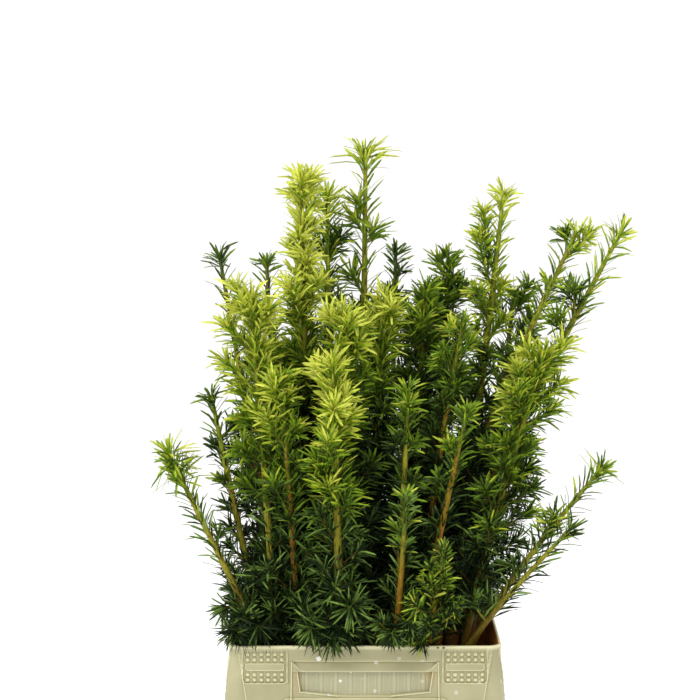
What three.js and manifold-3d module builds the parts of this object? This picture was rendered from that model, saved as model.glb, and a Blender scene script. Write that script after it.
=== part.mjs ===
// A bunch of cut golden yew stems standing in a cream plastic flower container.
// Millimetres, +Z up. The origin is at the centre of the container's flat underside.
// The container's long face looks to -Y.
import * as THREE from 'three';
import { mergeVertices } from 'three/addons/utils/BufferGeometryUtils.js';
import Module from 'manifold-3d';

const wasm = await Module();
wasm.setup();

// Container: half sizes along X and Y, heights and walls
const CONTAINER_HEIGHT = 300;
const FOOT_HALF = [158, 110];
const RIM_HALF = [192.5, 143.5];
const COLLAR_TOP_HALF = [191, 142];
const COLLAR_FOOT_HALF = [198.5, 149.5];
const COLLAR_FOOT_Z = 205;
const LIP_HEIGHT = 9;
const LIP_BEVEL = 2;
const RIM_WALL = 5;
const FLOOR = 4;
const WALL = 3;
const CORNER_RADIUS = 22;
const CORNER_STEPS = 3;
const SKIRT_TOP_Z = 272;
const SINK = 2;

// Marks on the long faces of the collar: places are half widths from the middle and heights
const FIELD_X = [110, 170];
const FIELD_Z = [247, 290];
const FIELD_DEPTH = 1.2;
const PANEL_HALF = 94;
const PANEL_Z = [232, 263];
const PANEL_DEPTH = 4;
const BEVEL_HALF = 102;
const BEVEL_Z = [262, 277];
const PANEL_RIBS = 9;
const RIB_PITCH = 20;
const RIB_WIDTH = 3;
const RIB_RISE = 2.4;
const EDGE_RIBS = [{ x: 108.5, z: [262, 292] }, { x: 104, z: [226, 277] }];
const EDGE_RIB = [2, 1.6];
const LEDGE = { half: 115, z: [221, 226], rise: 3 };
const END_PANEL_HALF = 80;
const END_RIBS = 5;

// Stems: where their feet stand, how thick they are and where their needles begin
const UPRIGHT_SHARE = 0.28;
const LEANING_SHARE = 0.55;
const EDGE_HALF = [98, 70];
const GAP = 0.3;
const STEM_SIDES = 6;
const STEM_STEPS = 4;
const TIP_GIRTH = 3.4;
const TAPER = 3;
const NEEDLES_FROM_EDGE = 274;
const NEEDLES_FROM_INSIDE = 284;

// Needles and side twigs
const TWIG_SIDES = 3;
const BAND_HEIGHT = 20.5;
const BAND_TURN = THREE.MathUtils.degToRad(46);
const TIP_LENGTH = 9;
const TIP_BANDS = 3;
const NEEDLE = 38;
const SHORT_NEEDLE = 0.7;
const NEEDLE_SWAY = 0.7;
const NEEDLE_RISE = THREE.MathUtils.degToRad(38);
const TIP_NEEDLE_RISE = THREE.MathUtils.degToRad(62);
const SHORTEST_NEEDLE = 15;
const TWIG_PITCH = 108;
const TWIG_FIRST = 34;
const TWIG_STRAY = 0.4;
const TWIG_LENGTH = [98, 56];
const SHORTEST_TWIG = 30;
const TWIG_GIRTH = 5;
const TWIG_RISE = THREE.MathUtils.degToRad(44);
const TWIG_TURN_UP = THREE.MathUtils.degToRad(22);
const TWIG_STEPS = 3;
const SKIRT_TWIGS = 3;
const SKIRT_SPREAD = THREE.MathUtils.degToRad(48);
const SKIRT_RISE = THREE.MathUtils.degToRad(16);
const SKIRT_LENGTH = 66;
const SKIRT_FIRST = 36;
const SKIRT_PITCH = 9;
const GOLDEN_TURN = THREE.MathUtils.degToRad(137.5);
const TWIG_ROOM = 7;
const NEEDLE_ROOM = 1.2;
const STEM_CLEAR = 6;
const SHRINK = 0.86;
const NEEDLE_PROBES = [0.4, 0.7, 1];
const CONTAINER_ROOM = 4;

// One row for each stem: where its foot stands, its tip, its lean there, its girth and its tint
const STEMS = [
  { foot: [-70, -96], tip: [-287, -60, 577], lean: 0.5, girth: 9, tint: 'lime' },
  { foot: [-30, -88], tip: [-46, -118, 710], lean: 0.06, girth: 12, tint: 'gold' },
  { foot: [25, -90], tip: [58, -132, 523], lean: 0.08, girth: 9, tint: 'olive' },
  { foot: [75, -92], tip: [112, -160, 452], lean: 0.35, girth: 8, tint: 'olive' },
  { foot: [60, -64], tip: [298, -138, 476], lean: 0.95, girth: 8, tint: 'green' },
  { foot: [100, -50], tip: [348, -72, 554], lean: 0.86, girth: 9, tint: 'green' },
  { foot: [-118, -18], tip: [-223, -20, 653], lean: 0.2, girth: 10, tint: 'dark' },
  { foot: [-118, -58], tip: [-162, -78, 800], lean: 0.08, girth: 10, tint: 'lime' },
  { foot: [-84, -56], tip: [-118, -104, 690], lean: 0.1, girth: 8, tint: 'green' },
  { foot: [-20, -42], tip: [-32, -50, 772], lean: 0.04, girth: 11, tint: 'gold' },
  { foot: [36, -50], tip: [61, -88, 669], lean: 0.06, girth: 10, tint: 'lime' },
  { foot: [55, -24], tip: [146, -108, 640], lean: 0.28, girth: 10, tint: 'olive' },
  { foot: [118, -22], tip: [259, -58, 717], lean: 0.3, girth: 9, tint: 'lime' },
  { foot: [40, 14], tip: [376, 0, 888], lean: 0.53, girth: 12, tint: 'lime' },
  { foot: [-122, 24], tip: [-215, 60, 854], lean: 0.2, girth: 8, tint: 'dark' },
  { foot: [-58, -12], tip: [-90, 6, 964], lean: 0, girth: 11, tint: 'gold' },
  { foot: [4, 8], tip: [31, 22, 793], lean: 0.08, girth: 9, tint: 'gold' },
  { foot: [56, 54], tip: [92, 70, 802], lean: 0.08, girth: 9, tint: 'green' },
  { foot: [86, -8], tip: [144, -20, 760], lean: 0.2, girth: 10, tint: 'olive' },
  { foot: [90, 36], tip: [316, 60, 883], lean: 0.5, girth: 12, tint: 'lime' },
  { foot: [-112, 84], tip: [-146, 142, 838], lean: 0.1, girth: 8, tint: 'dark' },
  { foot: [-40, 44], tip: [-55, 92, 934], lean: 0.05, girth: 9, tint: 'lime' },
  { foot: [-4, 84], tip: [2, 106, 1004], lean: 0.03, girth: 11, tint: 'lime' },
  { foot: [32, 94], tip: [48, 180, 851], lean: 0.1, girth: 8, tint: 'dark' },
  { foot: [74, 88], tip: [126, 128, 842], lean: 0.05, girth: 9, tint: 'dark' },
  { foot: [106, 58], tip: [205, 78, 942], lean: 0.1, girth: 11, tint: 'gold' },
  { foot: [122, 92], tip: [226, 150, 790], lean: 0.12, girth: 9, tint: 'dark' },
  { foot: [-66, 92], tip: [-92, 188, 722], lean: 0.12, girth: 9, tint: 'green' },
  { foot: [-92, 40], tip: [-136, 66, 742], lean: 0.08, girth: 8, tint: 'green' },
];

const TINTS = {
  gold: 0xb9bd3c,
  lime: 0x8fae3a,
  olive: 0x77903a,
  green: 0x4a7a33,
  dark: 0x2f5527,
};
const BARK = 0x8a7a35;
const CREAM = 0xcdc5a0;

// A seeded run of numbers from 0 to 1
function numbers(seed) {
  let state = seed >>> 0;
  return () => {
    state = (Math.imul(state, 1664525) + 1013904223) >>> 0;
    return state / 4294967296;
  };
}

const between = (low, high, share) => low + (high - low) * share;

// Closed mesh to solid and back
function toSolid(geometry) {
  geometry.deleteAttribute('normal');
  geometry.deleteAttribute('uv');
  const merged = mergeVertices(geometry, 1e-4);
  const vertProperties = new Float32Array(merged.attributes.position.array);
  const triVerts = new Uint32Array(merged.index.array);
  return new wasm.Manifold(new wasm.Mesh({ numProp: 3, vertProperties, triVerts }));
}

function toGeometry(solid) {
  const { numProp, vertProperties, triVerts } = solid.getMesh();
  const geometry = new THREE.BufferGeometry();
  const places = new Float32Array((vertProperties.length / numProp) * 3);
  for (let vertex = 0; vertex < places.length / 3; vertex += 1) {
    places.set(vertProperties.subarray(vertex * numProp, vertex * numProp + 3), vertex * 3);
  }
  geometry.setAttribute('position', new THREE.BufferAttribute(places, 3));
  geometry.setIndex(new THREE.BufferAttribute(new Uint32Array(triVerts), 1));
  return geometry;
}

function namedMesh(name, geometry, colour, roughness) {
  geometry.computeVertexNormals();
  const material = new THREE.MeshStandardMaterial({ color: colour, roughness, metalness: 0 });
  const mesh = new THREE.Mesh(geometry, material);
  mesh.name = name;
  return mesh;
}

// Solid through level rings of equally many points, each ring counter-clockwise from above
function loft(rings) {
  const count = rings[0].length;
  const places = rings.flat(2);
  const faces = [];
  for (let ring = 0; ring + 1 < rings.length; ring += 1) {
    for (let point = 0; point < count; point += 1) {
      const a = ring * count + point;
      const b = ring * count + ((point + 1) % count);
      faces.push(a, b, b + count, a, b + count, a + count);
    }
  }
  const top = (rings.length - 1) * count;
  for (let point = 1; point + 1 < count; point += 1) {
    faces.push(0, point + 1, point);
    faces.push(top, top + point, top + point + 1);
  }
  const geometry = new THREE.BufferGeometry();
  geometry.setAttribute('position', new THREE.BufferAttribute(new Float32Array(places), 3));
  geometry.setIndex(faces);
  return toSolid(geometry);
}

function roundedRing([halfX, halfY], z, radius = CORNER_RADIUS) {
  const points = [];
  const corners = [[1, -1], [1, 1], [-1, 1], [-1, -1]];
  corners.forEach(([sideX, sideY], corner) => {
    for (let step = 0; step <= CORNER_STEPS; step += 1) {
      const angle = (Math.PI / 2) * (corner - 1 + step / CORNER_STEPS);
      const x = sideX * (halfX - radius) + radius * Math.cos(angle);
      const y = sideY * (halfY - radius) + radius * Math.sin(angle);
      points.push([x, y, z]);
    }
  });
  return points;
}

const grown = (half, extra) => half.map((value) => value + extra);

// The body's outer wall widens evenly from foot to rim, and its collar narrows upward
function bodyHalf(z) {
  const rim = grown(RIM_HALF, WALL - RIM_WALL);
  return FOOT_HALF.map((half, axis) => between(half, rim[axis], z / CONTAINER_HEIGHT));
}

function collarHalf(z) {
  const share = (z - COLLAR_FOOT_Z) / (CONTAINER_HEIGHT - LIP_HEIGHT - COLLAR_FOOT_Z);
  return COLLAR_FOOT_HALF.map((half, axis) => between(half, COLLAR_TOP_HALF[axis], share));
}

const cavityHalf = (z) => grown(bodyHalf(z), -WALL);

function box(width, depth, height, x, y, z) {
  return new THREE.BoxGeometry(width, depth, height).translate(x, y, z);
}

// A bar on a long face of the collar, lying in its slope, that stands out by rise and sinks in by depth
const COLLAR_SLOPE = Math.atan2(
  COLLAR_FOOT_HALF[1] - COLLAR_TOP_HALF[1],
  CONTAINER_HEIGHT - LIP_HEIGHT - COLLAR_FOOT_Z,
);

function faceBar(width, zs, x, rise, depth) {
  const middle = (zs[0] + zs[1]) / 2;
  const bar = box(width, rise + depth, zs[1] - zs[0], 0, (depth - rise) / 2, 0);
  return toSolid(bar.rotateX(-COLLAR_SLOPE).translate(x, -collarHalf(middle)[1], middle));
}

function bothFaces(solids) {
  return solids.flatMap((solid) => [solid, solid.rotate([0, 0, 180])]);
}

function endBar(width, zs, y, rise, depth, turn) {
  const middle = (zs[0] + zs[1]) / 2;
  const bar = box(rise + depth, width, zs[1] - zs[0], (rise - depth) / 2, 0, 0);
  bar.rotateY(-COLLAR_SLOPE).translate(collarHalf(middle)[0], y, middle);
  return toSolid(bar).rotate([0, 0, turn]);
}

function containerCuts() {
  const cuts = [];
  for (const side of [-1, 1]) {
    const middle = (side * (FIELD_X[0] + FIELD_X[1])) / 2;
    cuts.push(faceBar(FIELD_X[1] - FIELD_X[0], FIELD_Z, middle, WALL, FIELD_DEPTH));
  }
  cuts.push(faceBar(2 * PANEL_HALF, PANEL_Z, 0, WALL, PANEL_DEPTH));
  cuts.push(faceBar(2 * BEVEL_HALF, BEVEL_Z, 0, WALL, FIELD_DEPTH));
  const ends = [0, 180].map((turn) => endBar(2 * END_PANEL_HALF, PANEL_Z, 0, WALL, PANEL_DEPTH, turn));
  return [...bothFaces(cuts), ...ends];
}

function containerBars() {
  const bars = [];
  for (let rib = 0; rib < PANEL_RIBS; rib += 1) {
    const x = RIB_PITCH * (rib - (PANEL_RIBS - 1) / 2);
    bars.push(faceBar(RIB_WIDTH, PANEL_Z, x, RIB_RISE - PANEL_DEPTH, PANEL_DEPTH + SINK));
  }
  for (const side of [-1, 1]) {
    for (const { x, z } of EDGE_RIBS) {
      bars.push(faceBar(EDGE_RIB[0], z, side * x, EDGE_RIB[1], SINK));
    }
  }
  bars.push(faceBar(2 * LEDGE.half, LEDGE.z, 0, LEDGE.rise, SINK));
  const ends = [];
  for (let rib = 0; rib < END_RIBS; rib += 1) {
    const y = RIB_PITCH * (rib - (END_RIBS - 1) / 2);
    for (const turn of [0, 180]) {
      ends.push(endBar(RIB_WIDTH, PANEL_Z, y, RIB_RISE - PANEL_DEPTH, PANEL_DEPTH + SINK, turn));
    }
  }
  return [...bothFaces(bars), ...ends];
}

function container() {
  const lipFoot = CONTAINER_HEIGHT - LIP_HEIGHT;
  const body = loft([0, lipFoot].map((z) => roundedRing(bodyHalf(z), z)));
  const collar = loft([COLLAR_FOOT_Z, lipFoot + 1].map((z) => roundedRing(collarHalf(z), z)));
  const lip = loft([
    roundedRing(RIM_HALF, lipFoot),
    roundedRing(RIM_HALF, CONTAINER_HEIGHT - LIP_BEVEL),
    roundedRing(grown(RIM_HALF, -LIP_BEVEL), CONTAINER_HEIGHT),
  ]);
  const cavity = loft([FLOOR, CONTAINER_HEIGHT + SINK].map((z) => roundedRing(cavityHalf(z), z)));
  const skirtFrom = COLLAR_FOOT_Z - SINK;
  const skirtHalf = (z) => grown(collarHalf(z), -WALL - PANEL_DEPTH);
  const underSkirt = loft([skirtFrom, SKIRT_TOP_Z].map((z) => roundedRing(skirtHalf(z), z)));
  const throughSkirt = loft([skirtFrom, SKIRT_TOP_Z].map((z) => roundedRing(bodyHalf(z), z)));
  const skirtSpace = underSkirt.subtract(throughSkirt);
  let solid = collar.add(body).add(lip).subtract(skirtSpace);
  for (const cut of containerCuts()) {
    solid = solid.subtract(cut);
  }
  for (const bar of containerBars()) {
    solid = solid.add(bar);
  }
  return solid.subtract(cavity);
}

// Each stem starts upright on the container's floor and ends at its own lean, away from its foot
function stemCurve({ foot: place, tip, lean }) {
  const foot = new THREE.Vector3(...place, FLOOR + GAP);
  const end = new THREE.Vector3(...tip);
  const height = end.z - foot.z;
  const away = new THREE.Vector3(end.x - foot.x, end.y - foot.y, 0).normalize();
  const slope = away.multiplyScalar(lean).setZ(1);
  const low = foot.clone().setZ(foot.z + UPRIGHT_SHARE * height);
  const high = end.clone().addScaledVector(slope, -LEANING_SHARE * height);
  return new THREE.CubicBezierCurve3(foot, low, high, end);
}

const onEdge = ({ foot }) => Math.abs(foot[0]) > EDGE_HALF[0] || Math.abs(foot[1]) > EDGE_HALF[1];

// Share of the curve at which it reaches a height
function shareAtHeight(curve, z) {
  let low = 0;
  let high = 1;
  for (let step = 0; step < 40; step += 1) {
    const middle = (low + high) / 2;
    if (curve.getPoint(middle).z < z) low = middle;
    else high = middle;
  }
  return low;
}

const PATH_STEPS = 16;
const plants = STEMS.map((stem, index) => {
  const curve = stemCurve(stem);
  const from = shareAtHeight(curve, onEdge(stem) ? NEEDLES_FROM_EDGE : NEEDLES_FROM_INSIDE);
  const radius = (share) => between(stem.girth, TIP_GIRTH, share ** TAPER) / 2;
  return { ...stem, index, curve, from, radius, path: curve.getPoints(PATH_STEPS) };
});

const line = new THREE.Line3();
const nearest = new THREE.Vector3();
function distanceToPath(point, path) {
  let least = Infinity;
  for (let step = 0; step + 1 < path.length; step += 1) {
    line.set(path[step], path[step + 1]).closestPointToPoint(point, true, nearest);
    least = Math.min(least, nearest.distanceTo(point));
  }
  return least;
}

// Each stem keeps the space that is nearer to it than to any other stem
function roomAt(point, plant) {
  const own = distanceToPath(point, plant.path);
  let room = Infinity;
  for (const other of plants) {
    if (other !== plant) room = Math.min(room, (distanceToPath(point, other.path) - own) / 2);
  }
  return room;
}

const within = ([halfX, halfY], point, extra) => (
  Math.abs(point.x) < halfX + extra && Math.abs(point.y) < halfY + extra
);

function clearOfContainer(point, extra) {
  if (point.z > CONTAINER_HEIGHT + extra) return true;
  const inside = within(cavityHalf(point.z), point, -extra);
  const outerHalf = point.z > CONTAINER_HEIGHT - LIP_HEIGHT ? RIM_HALF : collarHalf(point.z);
  return inside || !within(outerHalf, point, extra + LEDGE.rise);
}

function clearOfOwnStem(point, plant) {
  const bare = plant.curve.getPoint(plant.from);
  return point.z > bare.z || distanceToPath(point, plant.path) > plant.girth;
}

function hasRoom(point, plant, room) {
  const clear = clearOfContainer(point, CONTAINER_ROOM) && clearOfOwnStem(point, plant);
  return clear && roomAt(point, plant) > room;
}

// Two directions square to a path, the first one as near to +X as it can be
function frameAt(tangent) {
  const hint = Math.abs(tangent.x) < 0.9 ? new THREE.Vector3(1, 0, 0) : new THREE.Vector3(0, 0, -1);
  const across = hint.addScaledVector(tangent, -hint.dot(tangent)).normalize();
  return [across, new THREE.Vector3().crossVectors(tangent, across)];
}

function spoke([across, along], angle) {
  return across.clone().multiplyScalar(Math.cos(angle)).addScaledVector(along, Math.sin(angle));
}

// Longest needle that fits from a root in a direction, or none
function needleTip(root, direction, length, plant) {
  for (let reach = length; reach >= SHORTEST_NEEDLE; reach *= SHRINK) {
    const probes = NEEDLE_PROBES.map((share) => root.clone().addScaledVector(direction, reach * share));
    if (probes.every((point) => hasRoom(point, plant, NEEDLE_ROOM))) return probes.pop();
  }
  return null;
}

// A three-sided twig whose needles are drawn out of its own faces, band above band
function needledTwig({ curve, from, radius, first, plant, draw, turn }) {
  const shares = bandShares(curve.getLength() * (1 - from), first, from);
  const sector = (2 * Math.PI) / TWIG_SIDES;
  const places = [];
  const faces = [];
  const rings = shares.map((share, band) => {
    const tangent = curve.getTangent(share);
    const spin = turn + BAND_TURN * band;
    const ring = { centre: curve.getPoint(share), tangent, frame: frameAt(tangent), spin };
    for (let side = 0; side < TWIG_SIDES; side += 1) {
      const out = spoke(ring.frame, spin + side * sector);
      places.push(ring.centre.clone().addScaledVector(out, radius(share)));
    }
    return ring;
  });
  const last = rings.length - 1;
  for (let band = 0; band < last; band += 1) {
    const { centre, frame, tangent, spin } = rings[band];
    const middle = centre.clone().lerp(rings[band + 1].centre, 0.5);
    const rise = between(TIP_NEEDLE_RISE, NEEDLE_RISE, Math.min((last - band) / TIP_BANDS, 1));
    for (let side = 0; side < TWIG_SIDES; side += 1) {
      const a = band * TWIG_SIDES + side;
      const b = band * TWIG_SIDES + ((side + 1) % TWIG_SIDES);
      const c = b + TWIG_SIDES;
      const d = a + TWIG_SIDES;
      const slant = rise + NEEDLE_SWAY * (draw() - 0.5);
      const reach = NEEDLE * between(SHORT_NEEDLE, 1, draw());
      const direction = spoke(frame, spin + BAND_TURN / 2 + (side + 0.5) * sector)
        .multiplyScalar(Math.cos(slant))
        .addScaledVector(tangent, Math.sin(slant));
      const tip = band > 0 ? needleTip(middle, direction, reach, plant) : null;
      if (tip) {
        const apex = places.push(tip) - 1;
        faces.push(a, b, apex, b, c, apex, c, d, apex, d, a, apex);
      } else {
        faces.push(a, b, d, b, c, d);
      }
    }
  }
  const end = places.push(curve.getPoint(1)) - 1;
  for (let side = 0; side < TWIG_SIDES; side += 1) {
    faces.push(last * TWIG_SIDES + side, last * TWIG_SIDES + ((side + 1) % TWIG_SIDES), end);
  }
  faces.push(0, 2, 1);
  const geometry = new THREE.BufferGeometry().setFromPoints(places);
  geometry.setIndex(faces);
  return toSolid(geometry);
}

// Shares of a curve between its bands of needles, which grow shorter towards the tip
function bandShares(length, first, from) {
  const shares = [from, from + (first / length) * (1 - from)];
  const count = Math.max(Math.round((length - first - TIP_LENGTH) / BAND_HEIGHT), 1);
  for (let band = 1; band <= count; band += 1) {
    const distance = first + ((length - first - TIP_LENGTH) * band) / count;
    shares.push(from + (distance / length) * (1 - from));
  }
  return shares;
}

function twigCurve(root, outward, rise, length) {
  const up = new THREE.Vector3(0, 0, 1);
  const start = outward.clone().multiplyScalar(Math.cos(rise)).addScaledVector(up, Math.sin(rise));
  const later = rise + TWIG_TURN_UP;
  const finish = outward.clone().multiplyScalar(Math.cos(later)).addScaledVector(up, Math.sin(later));
  const middle = root.clone().addScaledVector(start, length / 2);
  return new THREE.QuadraticBezierCurve3(root, middle, middle.clone().addScaledVector(finish, length / 2));
}

// Longest side twig that keeps to the stem's space, or none
function fittedTwig(root, outward, rise, length, plant) {
  for (let reach = length; reach >= SHORTEST_TWIG; reach *= SHRINK) {
    const curve = twigCurve(root, outward, rise, reach);
    const probes = curve.getPoints(TWIG_STEPS).slice(1);
    if (probes.every((point) => hasRoom(point, plant, TWIG_ROOM))) return { curve, reach };
  }
  return null;
}

// Where the side twigs leave the stem: height, direction, rise and length of each
function twigPlan(plant, draw) {
  const { curve, from } = plant;
  const leafy = curve.getLength() * (1 - from);
  const plan = [];
  if (onEdge(plant)) {
    const outward = Math.atan2(curve.getPoint(from).y, curve.getPoint(from).x);
    for (let twig = 0; twig < SKIRT_TWIGS; twig += 1) {
      const spread = SKIRT_SPREAD * (twig - (SKIRT_TWIGS - 1) / 2);
      const height = SKIRT_FIRST + SKIRT_PITCH * twig;
      const rise = SKIRT_RISE * (0.5 + draw());
      plan.push({ height, angle: outward + spread, rise, length: SKIRT_LENGTH });
    }
  }
  const phase = 2 * Math.PI * draw();
  const count = Math.floor((leafy - TWIG_FIRST - TWIG_LENGTH[1]) / TWIG_PITCH) + 1;
  for (let twig = 0; twig < count; twig += 1) {
    const height = TWIG_FIRST + TWIG_PITCH * (twig + TWIG_STRAY * (draw() - 0.5));
    const length = between(TWIG_LENGTH[0], TWIG_LENGTH[1], height / leafy) * between(0.85, 1.15, draw());
    plan.push({ height, angle: phase + GOLDEN_TURN * twig, rise: TWIG_RISE, length });
  }
  return plan;
}

function foliage(plant) {
  const { curve, index, radius } = plant;
  const draw = numbers(7919 * (index + 1));
  const stemLength = curve.getLength();
  const from = plant.from + GAP / 2 / stemLength;
  const leafy = stemLength * (1 - from);
  const pieces = [];
  const plan = twigPlan(plant, draw);
  const turn = 2 * Math.PI * draw();
  pieces.push(needledTwig({ curve, from, radius, first: STEM_CLEAR, plant, draw, turn }));
  for (const { height, angle, rise, length } of plan) {
    const share = from + (height / leafy) * (1 - from);
    const root = curve.getPoint(share);
    const outward = new THREE.Vector3(Math.cos(angle), Math.sin(angle), 0);
    const fitted = fittedTwig(root, outward, rise, length, plant);
    if (fitted) {
      pieces.push(needledTwig({
        curve: fitted.curve,
        from: 0,
        radius: (along) => between(TWIG_GIRTH, TIP_GIRTH, along) / 2,
        first: plant.girth,
        plant,
        draw,
        turn: angle,
      }));
    }
  }
  const fused = wasm.Manifold.union(pieces).decompose();
  return fused.reduce((best, piece) => (piece.volume() > best.volume() ? piece : best));
}

// The bare foot of a stem, cut level below and square to its run above
function bareStem({ curve, from, radius }) {
  const rings = [];
  const sector = (2 * Math.PI) / STEM_SIDES;
  const until = from - GAP / 2 / curve.getLength();
  for (let step = 0; step <= STEM_STEPS; step += 1) {
    const share = (until * step) / STEM_STEPS;
    const tangent = step === 0 ? new THREE.Vector3(0, 0, 1) : curve.getTangent(share);
    const frame = frameAt(tangent);
    const ring = [];
    for (let side = 0; side < STEM_SIDES; side += 1) {
      const place = curve.getPoint(share).addScaledVector(spoke(frame, side * sector), radius(share));
      ring.push(place.toArray());
    }
    rings.push(ring);
  }
  return loft(rings);
}

const bunch = new THREE.Group();
bunch.add(namedMesh('container', toGeometry(container()), CREAM, 0.45));
for (const plant of plants) {
  const number = String(plant.index + 1).padStart(2, '0');
  bunch.add(namedMesh(`stem_${number}`, toGeometry(bareStem(plant)), BARK, 0.8));
  bunch.add(namedMesh(`foliage_${number}`, toGeometry(foliage(plant)), TINTS[plant.tint], 0.7));
}

export default bunch;
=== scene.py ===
import math

import bpy
import numpy as np
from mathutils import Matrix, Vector


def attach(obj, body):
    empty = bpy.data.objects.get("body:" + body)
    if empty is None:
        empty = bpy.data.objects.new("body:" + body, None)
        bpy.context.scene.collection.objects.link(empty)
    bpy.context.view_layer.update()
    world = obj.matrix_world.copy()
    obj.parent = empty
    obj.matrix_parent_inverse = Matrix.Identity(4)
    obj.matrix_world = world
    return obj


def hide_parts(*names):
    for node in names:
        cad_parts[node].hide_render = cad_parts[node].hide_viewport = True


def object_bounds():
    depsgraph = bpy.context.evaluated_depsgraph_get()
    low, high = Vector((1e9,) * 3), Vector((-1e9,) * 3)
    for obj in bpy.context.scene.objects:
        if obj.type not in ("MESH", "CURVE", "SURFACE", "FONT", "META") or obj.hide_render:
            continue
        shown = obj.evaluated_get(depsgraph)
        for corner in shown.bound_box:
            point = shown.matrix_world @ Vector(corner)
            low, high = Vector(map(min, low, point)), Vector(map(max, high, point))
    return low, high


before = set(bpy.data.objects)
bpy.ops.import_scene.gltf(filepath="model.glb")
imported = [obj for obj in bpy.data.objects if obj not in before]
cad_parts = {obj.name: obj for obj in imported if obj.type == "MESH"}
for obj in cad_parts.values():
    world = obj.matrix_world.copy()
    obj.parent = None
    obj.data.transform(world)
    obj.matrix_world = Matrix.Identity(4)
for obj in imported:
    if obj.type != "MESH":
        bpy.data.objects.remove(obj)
cad_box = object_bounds()

MM = 0.001
UP = np.array([0.0, 0.0, 1.0])
# Steps along a curve for its length, halvings to find a height on it, and the largest share along X that a
# steep direction has
LENGTH_STEPS = 200
HALVINGS = 40
STEEP = 0.9

# Container, as in the solids
CONTAINER_HEIGHT = 300
FOOT_HALF = np.array([158.0, 110.0])
RIM_HALF = np.array([192.5, 143.5])
COLLAR_TOP_HALF = np.array([191.0, 142.0])
COLLAR_FOOT_HALF = np.array([198.5, 149.5])
COLLAR_FOOT_Z = 205
LIP_HEIGHT = 9
RIM_WALL = 5
WALL = 3
FLOOR = 4
CORNER_RADIUS = 22
LEDGE_RISE = 3

# Stems and side twigs, as in the solids
UPRIGHT_SHARE = 0.28
LEANING_SHARE = 0.55
EDGE_HALF = (98, 70)
GAP = 0.3
TIP_GIRTH = 3.4
TAPER = 3
NEEDLES_FROM_EDGE = 274
NEEDLES_FROM_INSIDE = 284
TWIG_PITCH = 108
TWIG_FIRST = 34
TWIG_STRAY = 0.4
TWIG_LENGTH = (98, 56)
TWIG_LENGTH_STRAY = (0.85, 1.15)
SHORTEST_TWIG = 30
TWIG_GIRTH = 5
TWIG_RISE = math.radians(44)
TWIG_TURN_UP = math.radians(22)
TWIG_STEPS = 3
SKIRT_TWIGS = 3
SKIRT_SPREAD = math.radians(48)
SKIRT_RISE = math.radians(16)
SKIRT_LENGTH = 66
SKIRT_FIRST = 36
SKIRT_PITCH = 9
GOLDEN_TURN = math.radians(137.5)
TWIG_ROOM = 7
CONTAINER_ROOM = 4
SHRINK = 0.86
PATH_STEPS = 16
SEED_STEP = 7919
FINE_SEED = 17

# One row for each stem: where its foot stands, its tip, its lean there, its girth and its tint
STEMS = [
    ((-70, -96), (-287, -60, 577), 0.5, 9, "lime"),
    ((-30, -88), (-46, -118, 710), 0.06, 12, "gold"),
    ((25, -90), (58, -132, 523), 0.08, 9, "olive"),
    ((75, -92), (112, -160, 452), 0.35, 8, "olive"),
    ((60, -64), (298, -138, 476), 0.95, 8, "green"),
    ((100, -50), (348, -72, 554), 0.86, 9, "green"),
    ((-118, -18), (-223, -20, 653), 0.2, 10, "dark"),
    ((-118, -58), (-162, -78, 800), 0.08, 10, "lime"),
    ((-84, -56), (-118, -104, 690), 0.1, 8, "green"),
    ((-20, -42), (-32, -50, 772), 0.04, 11, "gold"),
    ((36, -50), (61, -88, 669), 0.06, 10, "lime"),
    ((55, -24), (146, -108, 640), 0.28, 10, "olive"),
    ((118, -22), (259, -58, 717), 0.3, 9, "lime"),
    ((40, 14), (376, 0, 888), 0.53, 12, "lime"),
    ((-122, 24), (-215, 60, 854), 0.2, 8, "dark"),
    ((-58, -12), (-90, 6, 964), 0, 11, "gold"),
    ((4, 8), (31, 22, 793), 0.08, 9, "gold"),
    ((56, 54), (92, 70, 802), 0.08, 9, "green"),
    ((86, -8), (144, -20, 760), 0.2, 10, "olive"),
    ((90, 36), (316, 60, 883), 0.5, 12, "lime"),
    ((-112, 84), (-146, 142, 838), 0.1, 8, "dark"),
    ((-40, 44), (-55, 92, 934), 0.05, 9, "lime"),
    ((-4, 84), (2, 106, 1004), 0.03, 11, "lime"),
    ((32, 94), (48, 180, 851), 0.1, 8, "dark"),
    ((74, 88), (126, 128, 842), 0.05, 9, "dark"),
    ((106, 58), (205, 78, 942), 0.1, 11, "gold"),
    ((122, 92), (226, 150, 790), 0.12, 9, "dark"),
    ((-66, 92), (-92, 188, 722), 0.12, 9, "green"),
    ((-92, 40), (-136, 66, 742), 0.08, 8, "green"),
]

# Needle colours from the palest tip to the deepest shade, and the record's slot of each
TINTS = [
    ("pale_gold", (0.60, 0.645, 0.090), "needles_gold"),
    ("gold", (0.405, 0.455, 0.033), "needles_gold"),
    ("lime", (0.235, 0.352, 0.017), "needles_lime"),
    ("fresh", (0.130, 0.230, 0.014), "needles_lime"),
    ("olive", (0.080, 0.138, 0.013), "needles_olive"),
    ("green", (0.047, 0.084, 0.011), "needles_green"),
    ("deep", (0.022, 0.043, 0.008), "needles_dark"),
    ("shade", (0.008, 0.017, 0.004), "needles_dark"),
]
# Cooler greens on the low twigs, and which tint stands there for each of the run
COOL_TINTS = [
    ("cool_light", (0.165, 0.268, 0.047), "needles_lime"),
    ("cool_green", (0.078, 0.138, 0.022), "needles_olive"),
]
COOLED = np.array([8, 8, 8, 8, 9, 5, 6, 7])
COOL_BELOW = 440
# The stem whose low twigs stay olive
WARM_STEM = 4
# Where each stem's tip begins on that run of colours, and how many millimetres below it the deepest one is
TIP_TINT = {
    "gold": (0.2, 420), "lime": (1.3, 330), "olive": (2.4, 360), "green": (3.4, 300), "dark": (4.6, 260),
}
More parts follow.
